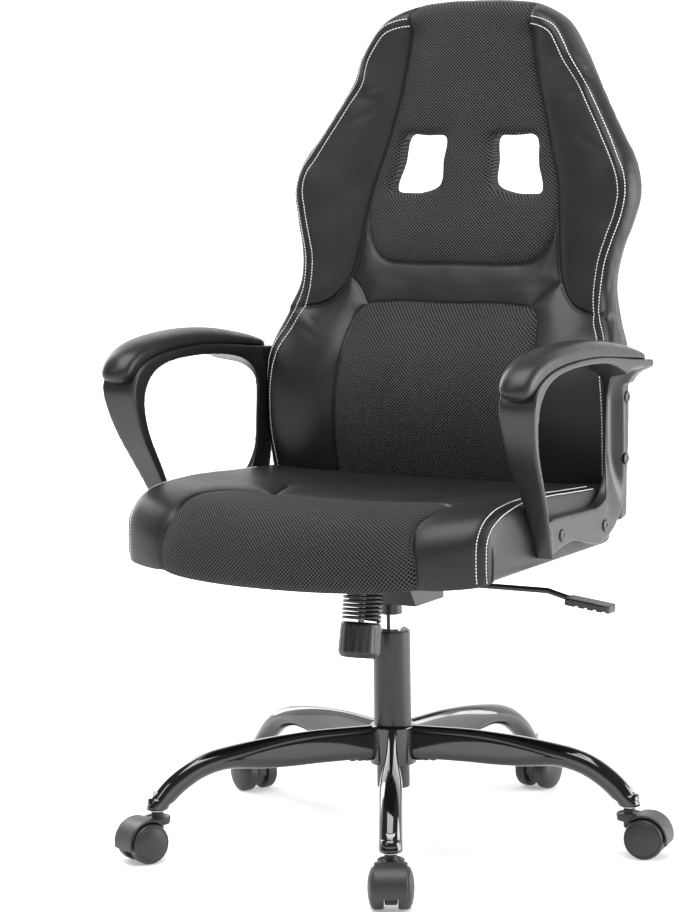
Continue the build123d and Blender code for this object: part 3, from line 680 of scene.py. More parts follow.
def make_back():
    shape = BackShape()
    loops = [shape.loop] + shape.windows
    rings = [offset_line(shape.outline, -d) for d in EDGE_RINGS]
    rings += [offset_line(w, s * d) for w, s in zip(shape.windows, (-1, 1)) for d in WINDOW_RINGS]
    rings += [offset_line(line, d) for line in shape.creases for d in CREASE_RINGS]

    def keep(points):
        held = inside(points, shape.loop)
        for window in shape.windows:
            held &= ~inside(points, window)
        return held

    flat, faces, numbers = triangulate(loops, shape.creases + shape.strips, rings, BACK_STEP, keep)
    rear_rings = [offset_line(shape.outline, -d) for d in REAR_RINGS]
    rear_flat, rear_faces, rear_numbers = triangulate(loops, [], rear_rings, BACK_STEP * 1.5, keep)
    front = np.stack([flat[:, 0], shape.front(flat), flat[:, 1]], 1)
    rear = np.stack([rear_flat[:, 0], shape.rear(rear_flat), rear_flat[:, 1]], 1)
    points = [front, rear]
    deep = [np.zeros(len(front)), np.full(len(rear), 60.0)]
    polygons = [tuple(f[::-1]) for f in faces] + [tuple(f + len(front)) for f in rear_faces]
    middle = flat[faces].mean(1)
    woven, strip = (np.any([inside(middle, zone) for zone in zones], axis=0) for zones in (
        (shape.mesh_zone, shape.lumbar_zone), shape.strip_zones))
    looks = [1 if m else 2 if s else 0 for m, s in zip(woven, strip)] + [0] * len(rear_faces)
    total = len(front) + len(rear)
    for index, (loop, near, far) in enumerate(zip(loops, numbers, rear_numbers)):
        far = [n + len(front) for n in far]
        a, b = front[near], rear[np.array(far) - len(front)]
        way = np.stack([np.gradient(a[:, 2]), np.zeros(len(a)), -np.gradient(a[:, 0])], 1)
        way /= np.maximum(np.linalg.norm(way, axis=1), 1e-9)[:, None]
        bulge = WALL_BULGE if index == 0 else 0.0

        def spread(t, a=a, b=b, way=way, bulge=bulge):
            return a * (1 - t) + b * t + way * bulge * math.sin(math.pi * t)

        extra, quads = wall(near, far, WALL_ROWS, total, spread)
        share = np.repeat(np.arange(1, WALL_ROWS + 1) / (WALL_ROWS + 1), len(loop))
        deep.append(share * np.tile(np.abs(b - a)[:, 1], WALL_ROWS))
        points.append(extra)
        total += len(extra)
        polygons += quads
        looks += [0 if index == 0 else 1] * len(quads)
    places = np.vstack(points)
    cushion = add_object("back_cushion", places * MM, polygons, [M["leather"], M["weave"], M["strip"]])
    cushion.data.polygons.foreach_set("material_index", looks)
    tidy_normals(cushion)
    domain = np.zeros((len(places), 3))
    domain[:, 0], domain[:, 1] = places[:, 0], places[:, 2]
    domain[:len(front), 2] = 1
    put_vectors(cushion, "domain", domain)
    deep = np.concatenate(deep)
    put_vectors(cushion, "depth", np.stack([deep, deep, deep], 1))
    held = np.ones(len(places), bool)
    gap = gap_to(flat, *shape.creases, *shape.strips, shape.outline)
    held[:len(front)] = (gap < 3.0) | (gap_to(flat, *shape.windows, closed=True) < 7)
    held[:len(front)] |= (flat[:, 1] < 415) | (np.abs(flat[:, 0]) > 236)
    blow_up(cushion, held, 4.0, 0.005, -0.004, 7)
    subdivide(cushion)
    domain = get_vectors(cushion, "domain")
    on_front = domain[:, 2] > 0.95
    spots = domain[:, :2]
    depth = groove(spots, SEAM_GROOVE, *shape.creases) + groove(spots, STRIP_GROOVE, *shape.strips)
    depth += front_wrinkles(spots)
    places = coords(cushion)
    places[on_front, 1] += depth[on_front] * MM
    set_coords(cushion, places)
    deep = get_vectors(cushion, "depth")[:, 0] * MM
    x, y, z = places.T
    put_vectors(cushion, "cloth_place", np.stack([x + deep, z * 1.08 + deep, y], 1))
    lines = [(line * (side, 1), side) for line in (shape.inner, shape.outer) for side in SIDES]
    return cushion, lines


def front_wrinkles(spots):
    """Short soft folds where the wing leather turns round the bolster, as depths."""
    folds = ((-141, 951, 15, 7, 1.5, 16), (-137, 938, 16, 7, -1.0, 16), (-143, 926, 17, 8, 1.1, 18),
             (-152, 900, 20, 10, 0.9, 24), (146, 930, 18, 10, 0.7, -15), (176, 868, 22, 12, 0.7, -30),
             (-150, 812, 30, 18, 0.7, 60), (170, 740, 28, 15, 0.7, -70), (90, 687, 50, 12, 0.6, 4),
             (-70, 690, 50, 12, 0.6, -5), (196, 640, 16, 7, 0.9, 30), (192, 624, 18, 7, 0.9, 26),
             (-196, 640, 16, 7, 0.9, -30), (-192, 622, 18, 7, 0.8, -24), (40, 1020, 30, 9, 0.6, 3),
             (-60, 1016, 34, 9, 0.6, -3))
    total = np.zeros(len(spots))
    for x, z, long, wide, deep, tilt in folds:
        a = math.radians(tilt)
        dx, dz = spots[:, 0] - x, spots[:, 1] - z
        along = dx * math.cos(a) + dz * math.sin(a)
        across = dz * math.cos(a) - dx * math.sin(a)
        total += deep * np.exp(-(along / long)**2 - (across / wide * 2)**2)
    return total


def tidy_normals(obj):
    mesh = bmesh.new()
    mesh.from_mesh(obj.data)
    bmesh.ops.recalc_face_normals(mesh, faces=mesh.faces)
    mesh.to_mesh(obj.data)
    mesh.free()


def merged(name, parts, mat):
    """One piece from several closed parts, which are used up."""
    made = bmesh.new()
    for part in parts:
        made.from_mesh(part.data)
        bpy.data.objects.remove(part)
    mesh = bpy.data.meshes.new(name)
    made.to_mesh(mesh)
    made.free()
    whole = bpy.data.objects.new(name, mesh)
    bpy.context.scene.collection.objects.link(whole)
    mesh.materials.clear()
    mesh.materials.append(mat)
    tidy_normals(whole)
    shade_smooth(whole)
    return whole


def close_holes(obj):
    mesh = bmesh.new()
    mesh.from_mesh(obj.data)
    bmesh.ops.holes_fill(mesh, edges=[edge for edge in mesh.edges if edge.is_boundary], sides=0)
    mesh.to_mesh(obj.data)
    mesh.free()


# ---- seat cushion ----------------------------------------------------------------------------
SEAT_MIDDLE = (
    (114, 445), (60, 444), (0, 444), (-60, 447), (-120, 451), (-170, 454), (-215, 454), (-248, 447),
    (-272, 434), (-288, 415), (-295, 396), (-296, 378), (-293, 367), (-286, 361))
SEAT_EDGE = (
    (114, 447), (60, 450), (10, 453), (-35, 456), (-80, 458), (-120, 458), (-155, 457), (-184, 454),
    (-204, 448), (-219, 437), (-227, 424), (-229, 406), (-229, 386), (-227, 371))
SEAT_SIDE = 247.0
SEAT_STEP = 6.0
SEAT_FLOOR = 373.6
SEAT_PANEL = (
    (173, -272, 362), (173, -271, 385), (172, -268, 404), (167, -260, 420), (163, -246, 436),
    (163, -228, 447), (166, -205, 453), (167, -180, 454), (162, -155, 453), (148, -134, 452),
    (122, -124, 451), (88, -133, 451), (0, -137, 451))
SEAT_DART = ((88, -134, 451), (103, -98, 450), (118, -62, 449), (131, -26, 449))
SEAT_INNER_STITCH = (
    (60, 451), (10, 454), (-35, 456), (-80, 458), (-120, 458), (-155, 457), (-184, 454), (-204, 448),
    (-219, 437), (-227, 424), (-229, 406), (-229, 386), (-227, 371))
SEAT_CROWN, SEAT_CROWN_REACH = 5.5, 13.0
SEAT_STITCH, SEAT_STRIP = 236.0, (1.2, 7.2)       # inner stitch row, edges of the strip outside it
SEAT_SEAM_GROOVE, SEAT_DART_GROOVE, SEAT_STRIP_GROOVE = (2.2, 2.2), (1.1, 2.0), (0.8, 1.3)


class SeatShape:
    """Top and front of the seat: two side profiles, blended from the middle out to the edge."""

    def __init__(self):
        self.middle = smooth_line(SEAT_MIDDLE, 2.0)
        count = 260
        share = np.linspace(0, 1, count)

        def even(line):
            fine = smooth_line(line, 1.0)
            knots = [np.argmin(np.abs(fine - np.array(p)).sum(1)) for p in line]
            at = np.interp(share * (len(line) - 1), np.arange(len(line)), knots)
            index = np.arange(len(fine))
            return np.stack([np.interp(at, index, fine[:, k]) for k in (0, 1)], 1)

        self.middle, self.edge = even(SEAT_MIDDLE), even(SEAT_EDGE)
        steps = np.linalg.norm(np.diff(self.middle, axis=0), axis=1)
        self.run = np.concatenate([[0], np.cumsum(steps)])
        self.length = self.run[-1]
        panel = smooth_line([self.flat(*p) for p in SEAT_PANEL])
        panel[0, 1] = self.length
        panel[-1, 0] = 0
        dart = smooth_line([self.flat(*p) for p in SEAT_DART])
        self.panel = mirror_line(panel)
        self.darts = [dart * (side, 1) for side in SIDES]
        self.panel_zone = np.vstack([self.panel, [[-173, self.length + 20], [173, self.length + 20]]])
        runs = [self.flat(SEAT_STITCH + 0.5, y, z)[1] for y, z in SEAT_INNER_STITCH]
        self.inner = smooth_line([(SEAT_STITCH, run) for run in runs])
        self.inner[0, 1] = 40

    def blended(self, x, s):
        x, s = np.asarray(x, float), np.asarray(s, float)
        share = np.clip(np.abs(x) / 238.0, 0, 1)**2.3
        both = [[np.interp(s, self.run, line[:, k]) for k in (0, 1)] for line in (self.middle, self.edge)]
        return [both[0][k] * (1 - share) + both[1][k] * share for k in (0, 1)]

    def flat(self, x, y, z):
        """The (x, run) place nearest to a point in space."""
        line_y, line_z = self.blended(np.full(len(self.run), x), self.run)
        return (x, float(self.run[np.argmin((line_y - y)**2 + (line_z - z)**2)]))

    def outward(self, x, s):
        y0, z0 = self.blended(x, np.clip(s - 3, 0, self.length))
        y1, z1 = self.blended(x, np.clip(s + 3, 0, self.length))
        size = np.maximum(np.hypot(y1 - y0, z1 - z0), 1e-9)
        return (z1 - z0) / size, -(y1 - y0) / size

    def surface(self, points):
        x, s = points[:, 0], points[:, 1]
        y, z = self.blended(x, s)
        out_y, out_z = self.outward(x, s)
        gap = gap_to(points, self.panel, *self.darts)
        rise = SEAT_CROWN * (1 - np.exp(-gap / SEAT_CROWN_REACH)) - SEAT_CROWN
        rise[np.abs(x) > 190] += 1.5 * np.clip((np.abs(x[np.abs(x) > 190]) - 190) / 40, 0, 1)
        radius = np.interp(s, (0, self.length * 0.62, self.length * 0.8, self.length), (9, 9, 20, 20))
        rise -= rounded(SEAT_SIDE - np.abs(x), radius)
        return np.stack([x, y + out_y * rise, z + out_z * rise], 1)


def make_seat():
    shape = SeatShape()
    long = shape.length
    across = np.linspace(-SEAT_SIDE, SEAT_SIDE, 91)
    down = np.linspace(0, long, 96)
    loop = np.vstack([
        np.stack([across, np.zeros_like(across)], 1)[:-1],
        np.stack([np.full_like(down, SEAT_SIDE), down], 1)[:-1],
        np.stack([across[::-1], np.full_like(across, long)], 1)[:-1],
        np.stack([np.full_like(down, -SEAT_SIDE), down[::-1]], 1)[:-1]])
    strip = [SEAT_STITCH + d for d in SEAT_STRIP]
    strips = [np.stack([np.full_like(down[3:-2], side * x), down[3:-2]], 1) for x in strip for side in SIDES]
    edges = [np.stack([np.full_like(down[1:-1], side * (SEAT_SIDE - d)), down[1:-1]], 1)
             for side in SIDES for d in (0.5, 1.8)]
    edges += [np.stack([np.full_like(down[1:-1], side * (SEAT_SIDE - 15)), down[1:-1]], 1) for side in SIDES]
    inner_panel = shape.panel[1:-1]
    edges += [offset_line(line, d) for line in [inner_panel] + shape.darts for d in CREASE_RINGS]

    def keep(points):
        return (np.abs(points[:, 0]) < SEAT_SIDE) & (points[:, 1] > 0) & (points[:, 1] < long)

    flat, faces, numbers = triangulate([loop], [inner_panel] + shape.darts + strips, edges, SEAT_STEP, keep)
    top = shape.surface(flat)
    middle = flat[faces].mean(1)
    in_strip = (np.abs(middle[:, 0]) > strip[0]) & (np.abs(middle[:, 0]) < strip[1])
    looks = [1 if m else 2 if s else 0 for m, s in zip(inside(middle, shape.panel_zone), in_strip)]
    polygons = [tuple(f) for f in faces]
    rim = numbers[0]
    count = len(rim)
    points = [top]
    total = len(top)
    rim_places = top[rim]
    bottom = rim_places.copy()
    bottom[:, 2] = SEAT_FLOOR
    front_part = rim_places[:, 2] < SEAT_FLOOR + 3
    bottom[front_part, 2] = rim_places[front_part, 2] + 4
    bottom[:, 0] *= 1 - 6 / SEAT_SIDE
    bottom[front_part, 1] += 12
    inner_ring = bottom.copy()
    inner_ring[:, 2] = SEAT_FLOOR
    inner_ring[:, 0] *= 1 - 10 / SEAT_SIDE
    inner_ring[front_part, 1] += 14
    side_face = np.abs(np.abs(rim_places[:, 0]) - SEAT_SIDE) < 0.1
    rings = []
    for t in np.linspace(0, 1, 12)[1:-1]:
        ring = rim_places * (1 - t) + bottom * t
        ring[:, 0] = rim_places[:, 0] * (1 - 6 / SEAT_SIDE * max(0, t - 0.9) * 10)
        fall = np.minimum(1, (rim_places[:, 2] - bottom[:, 2]) / 60)
        ring[side_face, 0] += (np.sign(rim_places[:, 0]) * 3.0 * math.sin(math.pi * t)**0.7 * fall)[side_face]
        rings.append(ring)
    rings += [bottom, inner_ring]
    previous = rim
    for ring in rings:
        points.append(ring)
        numbers_now = list(range(total, total + count))
        total += count
        for i in range(count):
            j = (i + 1) % count
            polygons.append((previous[j], previous[i], numbers_now[i], numbers_now[j]))
            looks.append(0)
        previous = numbers_now
    places = np.vstack(points)
    cushion = add_object("seat_cushion", places * MM, polygons, [M["leather"], M["weave"], M["strip"]])
    cushion.data.polygons.foreach_set("material_index", looks)
    tidy_normals(cushion)
    domain = np.zeros((len(places), 3))
    domain[:, :2] = places[:, :2]
    domain[:len(top), :2] = flat
    domain[:len(top), 2] = 1
    put_vectors(cushion, "domain", domain)
    held = np.ones(len(places), bool)
    gap = gap_to(flat, inner_panel, *shape.darts, *strips)
    held[:len(top)] = (gap < 3.0) | (np.abs(flat[:, 0]) > 233) | (flat[:, 1] < 12) | (flat[:, 1] > long - 8)
    blow_up(cushion, held, 4.0, 0.005, -0.004)
    subdivide(cushion)
    close_holes(cushion)
    domain = get_vectors(cushion, "domain")
    on_top = domain[:, 2] > 0.95
    spots = domain[:, :2]
    depth = groove(spots, SEAT_SEAM_GROOVE, inner_panel) + groove(spots, SEAT_DART_GROOVE, *shape.darts)
    depth += groove(spots, SEAT_STRIP_GROOVE, *strips)
    places = coords(cushion)
    places[on_top] -= coords(cushion, "normal")[on_top] * depth[on_top, None] * MM
    set_coords(cushion, places)
    run = np.where(on_top, domain[:, 1], 0) * MM
    put_vectors(cushion, "cloth_place", np.stack([places[:, 0], run, places[:, 2]], 1))
    inner = shape.inner
    outer = inner + (8.4, 0)
    lines = []
    for side in SIDES:
        for line in (inner, outer):
            spots = np.stack([side * line[:, 0], line[:, 1]], 1)
            here = shape.surface(spots)
            out_y, out_z = shape.outward(spots[:, 0], spots[:, 1])
            lines.append((here, np.stack([np.full(len(here), side * 0.5), out_y, out_z], 1)))
    return cushion, lines


# ---- stitches --------------------------------------------------------------------------------
STITCH_LONG, STITCH_PITCH, STITCH_RADIUS = 3.1, 4.1, 0.62        # mm


def capsule():
    """One stitch along X: points and faces of a short thread end to end."""
    rings = [(-1.0, 0.35), (-0.82, 0.85), (-0.4, 1.0), (0.4, 1.0), (0.82, 0.85), (1.0, 0.35)]
    around = 6
    points = [(x * STITCH_LONG / 2, r * STITCH_RADIUS * math.cos(a), r * STITCH_RADIUS * math.sin(a))
              for x, r in rings for a in turn_steps(around)]
    return np.array(points), tube_faces(len(rings), around)


def sew(name, tree, lines):
    """Rows of thread laid on a cushion. Each line is points and the directions they are seen from, in mm."""
    shape, shape_faces = capsule()
    points, faces = [], []
    for line, outward in lines:
        way = np.diff(line, axis=0)
        run = np.concatenate([[0], np.cumsum(np.linalg.norm(way, axis=1))])
        for at in np.arange(STITCH_PITCH, run[-1] - STITCH_PITCH, STITCH_PITCH):
            out = np.array([np.interp(at, run, outward[:, k]) for k in range(3)])
            out /= np.linalg.norm(out)
            ends = []
            for shift in (-STITCH_LONG / 2, STITCH_LONG / 2):
                here = np.array([np.interp(at + shift, run, line[:, k]) for k in range(3)])
                hit, normal, _, _ = tree.ray_cast(Vector((here + out * 25) * MM), Vector(-out), 0.05)
                if hit is not None:
                    ends.append((np.array(hit) / MM, np.array(normal)))
            if len(ends) < 2:
                continue
            along = ends[1][0] - ends[0][0]
            if not 0.5 * STITCH_LONG < np.linalg.norm(along) < 2 * STITCH_LONG:
                continue
            along /= np.linalg.norm(along)
            lift = ends[0][1] + ends[1][1]
            side = np.cross(lift, along)
            side /= np.linalg.norm(side)
            lift = np.cross(along, side)
            frame_here = np.stack([along, side, lift])
            middle = (ends[0][0] + ends[1][0]) / 2 + lift * 0.15
            first = sum(len(p) for p in points)
            points.append(shape @ frame_here + middle)
            faces += [tuple(i + first for i in f) for f in shape_faces]
    return add_object(name, np.vstack(points) * MM, faces, [M["thread"]])


# ---- arms ------------------------------------------------------------------------------------
def copy_of(node, name, mat):
    """A piece of its own that starts from a CAD node's shape."""
    obj = bpy.data.objects.new(name, NODES[node].data.copy())
    bpy.context.scene.collection.objects.link(obj)
    obj.data.materials.clear()
    obj.data.materials.append(mat)
    return obj


def remesh(obj, size, turns):
    mod = obj.modifiers.new("even", "REMESH")
    mod.mode = "VOXEL"
    mod.voxel_size = size
    mod.use_smooth_shade = True
    relax(obj, turns)


def relax(obj, turns):
    soft = obj.modifiers.new("soft", "SMOOTH")
    soft.factor = 0.5
    soft.iterations = turns
    bake_modifiers(obj)


def smoothstep(t):
    t = np.clip(t, 0, 1)
    return t * t * (3 - 2 * t)


FLANGE_FACE = 264.5
RIM_LINE = (
    (-98, 386), (-106, 403), (-124, 439), (-151, 481), (-177, 521), (-190, 551), (-194, 576), (-186, 594),
    (-165, 608), (-130, 616), (-91, 619), (-17, 619), (62, 611), (141, 603))
RIM_SHARE = 0.52         # how much of the CAD form's depth shows as the thin rim of strut and rail
ARM_VOXEL = 0.0018
SCOOP_FROM, SCOOP_WIDE, SCOOP_DEEP = 103, 17, 14.0       # hollow in the front of the rear upright
FUNNEL_FROM, FUNNEL_HIGH, FUNNEL_WIDE, RAIL_LOW = 552, 40, 31, 594.0


def make_arm(node, name, side):
    """Moulded arm: soft edges, a scooped rear upright and a funnel-shaped fillet under the rail."""
    arm = copy_of(node, name, M["arm"])
    remesh(arm, ARM_VOXEL, 3)
    places = coords(arm) / MM
    x, y, z = np.abs(places[:, 0]), places[:, 1], places[:, 2]
    upright = smoothstep((y - 66) / 16) * smoothstep((z - 408) / 84)
    scoop = np.clip((y - SCOOP_FROM) / SCOOP_WIDE, 0, 1)**1.7
    climb = np.clip((z - FUNNEL_FROM) / FUNNEL_HIGH, 0, 1)
    funnel = FUNNEL_WIDE * (1 - np.sqrt(1 - 0.998 * climb**2))
    limit = FLANGE_FACE - SCOOP_DEEP * (1 - scoop) + funnel
    over = np.clip(x - limit, 0, None) * upright * (z < RAIL_LOW)
    places[:, 0] = side * (x - over)
    rim = smooth_line(RIM_LINE, 1.0)
    tree = flat_tree(rim)
    nearest = rim[[tree.find((py, pz, 0))[1] for py, pz in zip(y, z)]]
    thin = smoothstep((72 - nearest[:, 0]) / 70) * smoothstep((nearest[:, 1] - 392) / 24)
    thin *= smoothstep((x - 250) / 6) * smoothstep((34 - np.hypot(y - nearest[:, 0], z - nearest[:, 1])) / 8)
    share = 1 - (1 - RIM_SHARE) * thin
    places[:, 1:] = nearest + (places[:, 1:] - nearest) * share[:, None]
    set_coords(arm, places * MM)
    relax(arm, 9)
    shade_smooth(arm)
    return arm


PAD_MIDDLE = 271.6
PAD_RIBS = (              # y and z on the rail, y and z on top, half width
    (127, 602.6, 126, 613.0, 18.5), (119, 603.6, 117, 616.0, 21.6), (102, 605.6, 100, 620.4, 22.9),
    (62, 609.4, 60, 628.2, 23.4), (20, 613.2, 19, 634.6, 23.6), (-17, 616.4, -17, 638.0, 23.8),
    (-55, 617.0, -57, 639.6, 23.8), (-91, 616.8, -98, 638.8, 23.8), (-120, 614.8, -134, 636.0, 23.8),
    (-143, 611.2, -166, 630.0, 23.4), (-161, 606.2, -190, 620.8, 23.0), (-174, 600.2, -204, 609.0, 22.0),
    (-182, 594.4, -209.5, 598.6, 20.4), (-187, 589.4, -209, 591.0, 17.6), (-190, 586.6, -203, 586.8, 13.6))
PAD_AROUND = 44
PAD_REAR_CAP = ((0.35, 2.4), (0.72, 2.0), (0.92, 1.0))       # share of the rib's size, distance past it
PAD_NOSE_CAP = ((0.86, 1.0), (0.6, 1.8), (0.3, 2.2))


def make_pad(name, side):
    """Arm pad: ribs fanned along the rail, filled out as cloth and creased where it meets the rail."""
    path = smooth_line(np.array(PAD_RIBS))
    angles = turn_steps(PAD_AROUND)

    def rib(station, size):
        low, high = np.array(station[:2]), np.array(station[2:4])
        ring = []
        for a in angles:
            c, t = math.cos(a), math.sin(a)
            power = 2.35 if t > 0 else 4.2
            reach = (abs(c)**power + abs(t)**power)**(-1 / power)
            across = c * reach * station[4] * size
            up = (t * reach * 0.58 + 0.42 if t > 0 else 0.42 + t * reach * 0.42) * size + 0.5 * (1 - size)
            spot = low + (high - low) * up
            ring.append((side * (PAD_MIDDLE + across), spot[0], spot[1]))
        return np.array(ring)

    rings = [rib(path[0], size) + (0, ahead, 0) for size, ahead in PAD_REAR_CAP]
    rings += [rib(station, 1.0) for station in path]
    rings += [rib(path[-1], size) - (0, 0, ahead) for size, ahead in PAD_NOSE_CAP]
    pad = add_object(name, np.vstack(rings) * MM, tube_faces(len(rings), PAD_AROUND), [M["pad"]])
    tidy_normals(pad)
    under = np.tile(np.sin(angles) < -0.15, len(rings))
    blow_up(pad, under, 3.0, 0.0022, -0.002)
    subdivide(pad)
    return pad


SEAT_BOLTS = ((-60, 410), (63, 405))
BACK_BOLTS = ((129, 556), (125, 480))


def make_bolt_heads():
    """Low domed heads on the arms' flanges."""
    parts = []
    profile = ((0.3, -9), (4.0, -9), (4.0, 0), (7.1, 0), (7.5, 0.5), (7.4, 1.1), (6.6, 1.8), (4.6, 2.3),
               (2.8, 2.4), (2.5, 1.5), (0.3, 1.5))
    for side in SIDES:
        for y, z in SEAT_BOLTS + BACK_BOLTS:
            head = lathe("head_part", profile, M["dark_steel"], 32)
            place = Matrix.Translation(Vector((side * (FLANGE_FACE - 0.3), y, z)) * MM)
            head.data.transform(place @ Matrix.Rotation(math.radians(90 * side), 4, "Y"))
            parts.append(head)
    return merged("bolt_heads", parts, M["dark_steel"])


# ---- base ------------------------------------------------------------------------------------
LEG_ANGLES = [math.radians(27.8 + 72 * k - 90) for k in range(5)]
LEG_STATIONS = (          # radius, height, pitch in degrees, half height, half width, squareness
    (24, 125.0, 0, 21.0, 7.2, 3.4), (60, 124.8, 1, 21.0, 7.2, 3.4), (100, 124.3, 1, 21.0, 7.3, 3.4),
    (135, 122.6, 2, 20.5, 8.0, 3.2), (165, 121.3, 3, 19.0, 9.8, 2.8), (190, 120.6, 4, 16.6, 11.9, 2.4),
    (212, 119.5, 7, 14.3, 13.4, 2.1), (232, 116.0, 14, 13.8, 13.8, 2.0), (251, 109.6, 24, 13.8, 13.8, 2.0),
    (268, 100.2, 36, 13.8, 13.8, 2.0), (284, 88.0, 50, 13.8, 13.8, 2.0), (296, 75.5, 66, 13.8, 13.8, 2.0),
    (303, 67.5, 84, 13.8, 13.8, 2.0), (305, 62.5, 90, 13.8, 13.8, 2.0))
LEG_WALL = 1.8


def leg_ring(station, around, thinner=0.0):
    radius, height, pitch, half_h, half_w, power = station
    pitch = math.radians(pitch)
    along_up = np.array([math.sin(pitch), 0, math.cos(pitch)])
    ring = []
    for a in turn_steps(around):
        c, s = math.cos(a), math.sin(a)
        size = (abs(c)**power + abs(s)**power)**(-1 / power)
        ring.append(np.array([radius, 0, height]) + along_up * c * size * (half_h - thinner)
                    + np.array([0, s * size * (half_w - thinner), 0]))
    return ring


def make_leg(index):
    """Flattened tube that turns round and curves down to an open end over its caster stem."""
    around = 40
    path = smooth_line(np.array(LEG_STATIONS))
    rings = [leg_ring(s, around) for s in path]
    end = path[-1].copy()
    for drop, thinner in ((0.0, LEG_WALL * 0.5), (0.3, LEG_WALL), (-6, LEG_WALL), (-14, LEG_WALL + 0.4)):
        inside_end = end.copy()
        inside_end[1] = end[1] - drop
        rings.append(leg_ring(inside_end, around, thinner))
    points = np.vstack(rings)
    points[:, 2] = np.where(points[:, 0] > 288, np.maximum(points[:, 2], 62.5), points[:, 2])
    leg = add_object(f"leg_{index + 1}", points * MM, tube_faces(len(rings), around), [M["gloss"]])
    leg.data.transform(Matrix.Rotation(LEG_ANGLES[index], 4, "Z"))
    tidy_normals(leg)
    return leg


def lathe(name, profile, mat, around=72, ribs=0, rib_depth=0.0, rib_zone=(0, 0)):
    """Solid of revolution about Z from (radius, height) points in mm, with optional upright ribs."""
    points = []
    for r, z in profile:
        ribbed = rib_zone[0] <= z <= rib_zone[1] and ribs
        for a in turn_steps(around):
            cut = rib_depth * (0.5 + 0.5 * math.cos(ribs * a))**4 if ribbed else 0
            points.append(((r - cut) * math.cos(a), (r - cut) * math.sin(a), z))
    return add_object(name, np.array(points) * MM, tube_faces(len(profile), around), [mat])


def round_profile(corners, radius, steps=5):
    """A lathe profile whose corners are rounded."""
    out = [corners[0]]
    for a, b, c in zip(corners, corners[1:], corners[2:]):
        a, b, c = (np.array(p, float) for p in (a, b, c))
        before, after = a - b, c - b
        r = min(radius, 0.45 * np.linalg.norm(before), 0.45 * np.linalg.norm(after))
        start = b + before / np.linalg.norm(before) * r
        end = b + after / np.linalg.norm(after) * r
        for t in np.linspace(0, 1, steps):
            out.append(tuple((1 - t)**2 * start + 2 * t * (1 - t) * b + t**2 * end))
    out.append(corners[-1])
    return out


HUB_PROFILE = ((20.8, 97), (29, 97), (29, 144.5), (26.5, 147), (20.8, 147), (20.8, 97.2))
WELD_BEADS, WELD_HEIGHT = ((34, 4.6), (43, 4.0), (53, 3.4)), 104.2       # radius out, size


def make_hub():
    """Sleeve in the middle of the legs, with weld beads along each leg's lower edge."""
    hub = lathe("hub_sleeve", round_profile(HUB_PROFILE, 1.2), M["gloss"])
    for leg_angle in LEG_ANGLES:
        for radius, size in WELD_BEADS:
            bead = bmesh.new()
            bmesh.ops.create_icosphere(bead, subdivisions=2, radius=size * MM)
            bmesh.ops.scale(bead, verts=bead.verts, vec=(1.5, 1.2, 0.75))
            bmesh.ops.rotate(bead, verts=bead.verts, matrix=Matrix.Rotation(leg_angle, 3, "Z"))
            place = Vector((radius * math.cos(leg_angle), radius * math.sin(leg_angle), WELD_HEIGHT)) * MM
            bmesh.ops.translate(bead, verts=bead.verts, vec=place)
            mesh = bpy.data.meshes.new("bead")
            bead.to_mesh(mesh)
            bead.free()
            whole = bmesh.new()
            whole.from_mesh(hub.data)
            whole.from_mesh(mesh)
            whole.to_mesh(hub.data)
            whole.free()
    shade_smooth(hub)
    return hub


KNOB_LEAN = math.radians(10)
KNOB_AXIS_TOP = (0.0, -63.0, 372.0)


def make_knob():
    """Cup-shaped tension knob with shallow grip flutes and a domed end."""
    profile = round_profile(((4.6, 0), (24.5, 0), (25.2, -6), (26.0, -38), (22.0, -43.4), (0.6, -44)), 3.0)
    knob = lathe("tension_knob_grip", profile, M["plastic"], 144, 18, 0.55, (-36, -5))
    top = Vector(KNOB_AXIS_TOP) + Vector((0, -math.sin(KNOB_LEAN), -math.cos(KNOB_LEAN))) * 85.0
    turn = Matrix.Rotation(-KNOB_LEAN, 4, "X")
    knob.data.transform(Matrix.Translation(top * MM) @ turn)
    return knob


def make_spring():
    """Tension spring between tray and knob, copied from the CAD coil and shaded smooth."""
    coil = copy_of("tension_spring", "spring_coil", M["dark_steel"])
    shade_smooth(coil)
    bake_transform(coil)
    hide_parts("tension_spring")


# ---- casters ---------------------------------------------------------------------------------
CASTER_TURN = (0, 0, 0, 0, 19)
TRAIL, WHEEL = 22.0, 25.0
CASTER_CORE, CAD_HOOD_HALF, HOOD_HALF = 9.0, 25.5, 19.5
WHEEL_PROFILE = (      # radius, from the middle
    (4.2, 8.4), (24.0, 8.4), (25.0, 10), (25.0, 19.5), (23.6, 22.4), (21.8, 23.4), (21.2, 22.8),
    (20.6, 23.9), (16.5, 25.4), (10, 26.8), (0.4, 27.4))
CUP_PROFILE = ((5.8, 44), (15.5, 44), (16.4, 53.2), (13.8, 53.8), (13.2, 51.6), (5.8, 51.6), (5.8, 44.2))


def caster_frame(index):
    """From a caster's own frame, stem on Z and trail along X, to the row frame."""
    heading = LEG_ANGLES[index]
    stem = Matrix.Translation(Vector((math.cos(heading), math.sin(heading), 0)) * 0.305)
    return stem @ Matrix.Rotation(heading + math.radians(CASTER_TURN[index]), 4, "Z")


def make_wheels(index):
    """Pair of wheels with a domed outer disc and a fine groove inside the tread."""
    parts = []
    for side in SIDES:
        wheel = lathe("wheel_part", round_profile(WHEEL_PROFILE, 0.8, 4), M["caster"], 64)
        turn = Matrix.Rotation(math.radians(-90 * side), 4, "X")
        place = Matrix.Translation(Vector((TRAIL, 0, WHEEL)) * MM)
        wheel.data.transform(caster_frame(index) @ place @ turn)
        parts.append(wheel)
    return merged(f"wheels_pair_{index + 1}", parts, M["caster"])


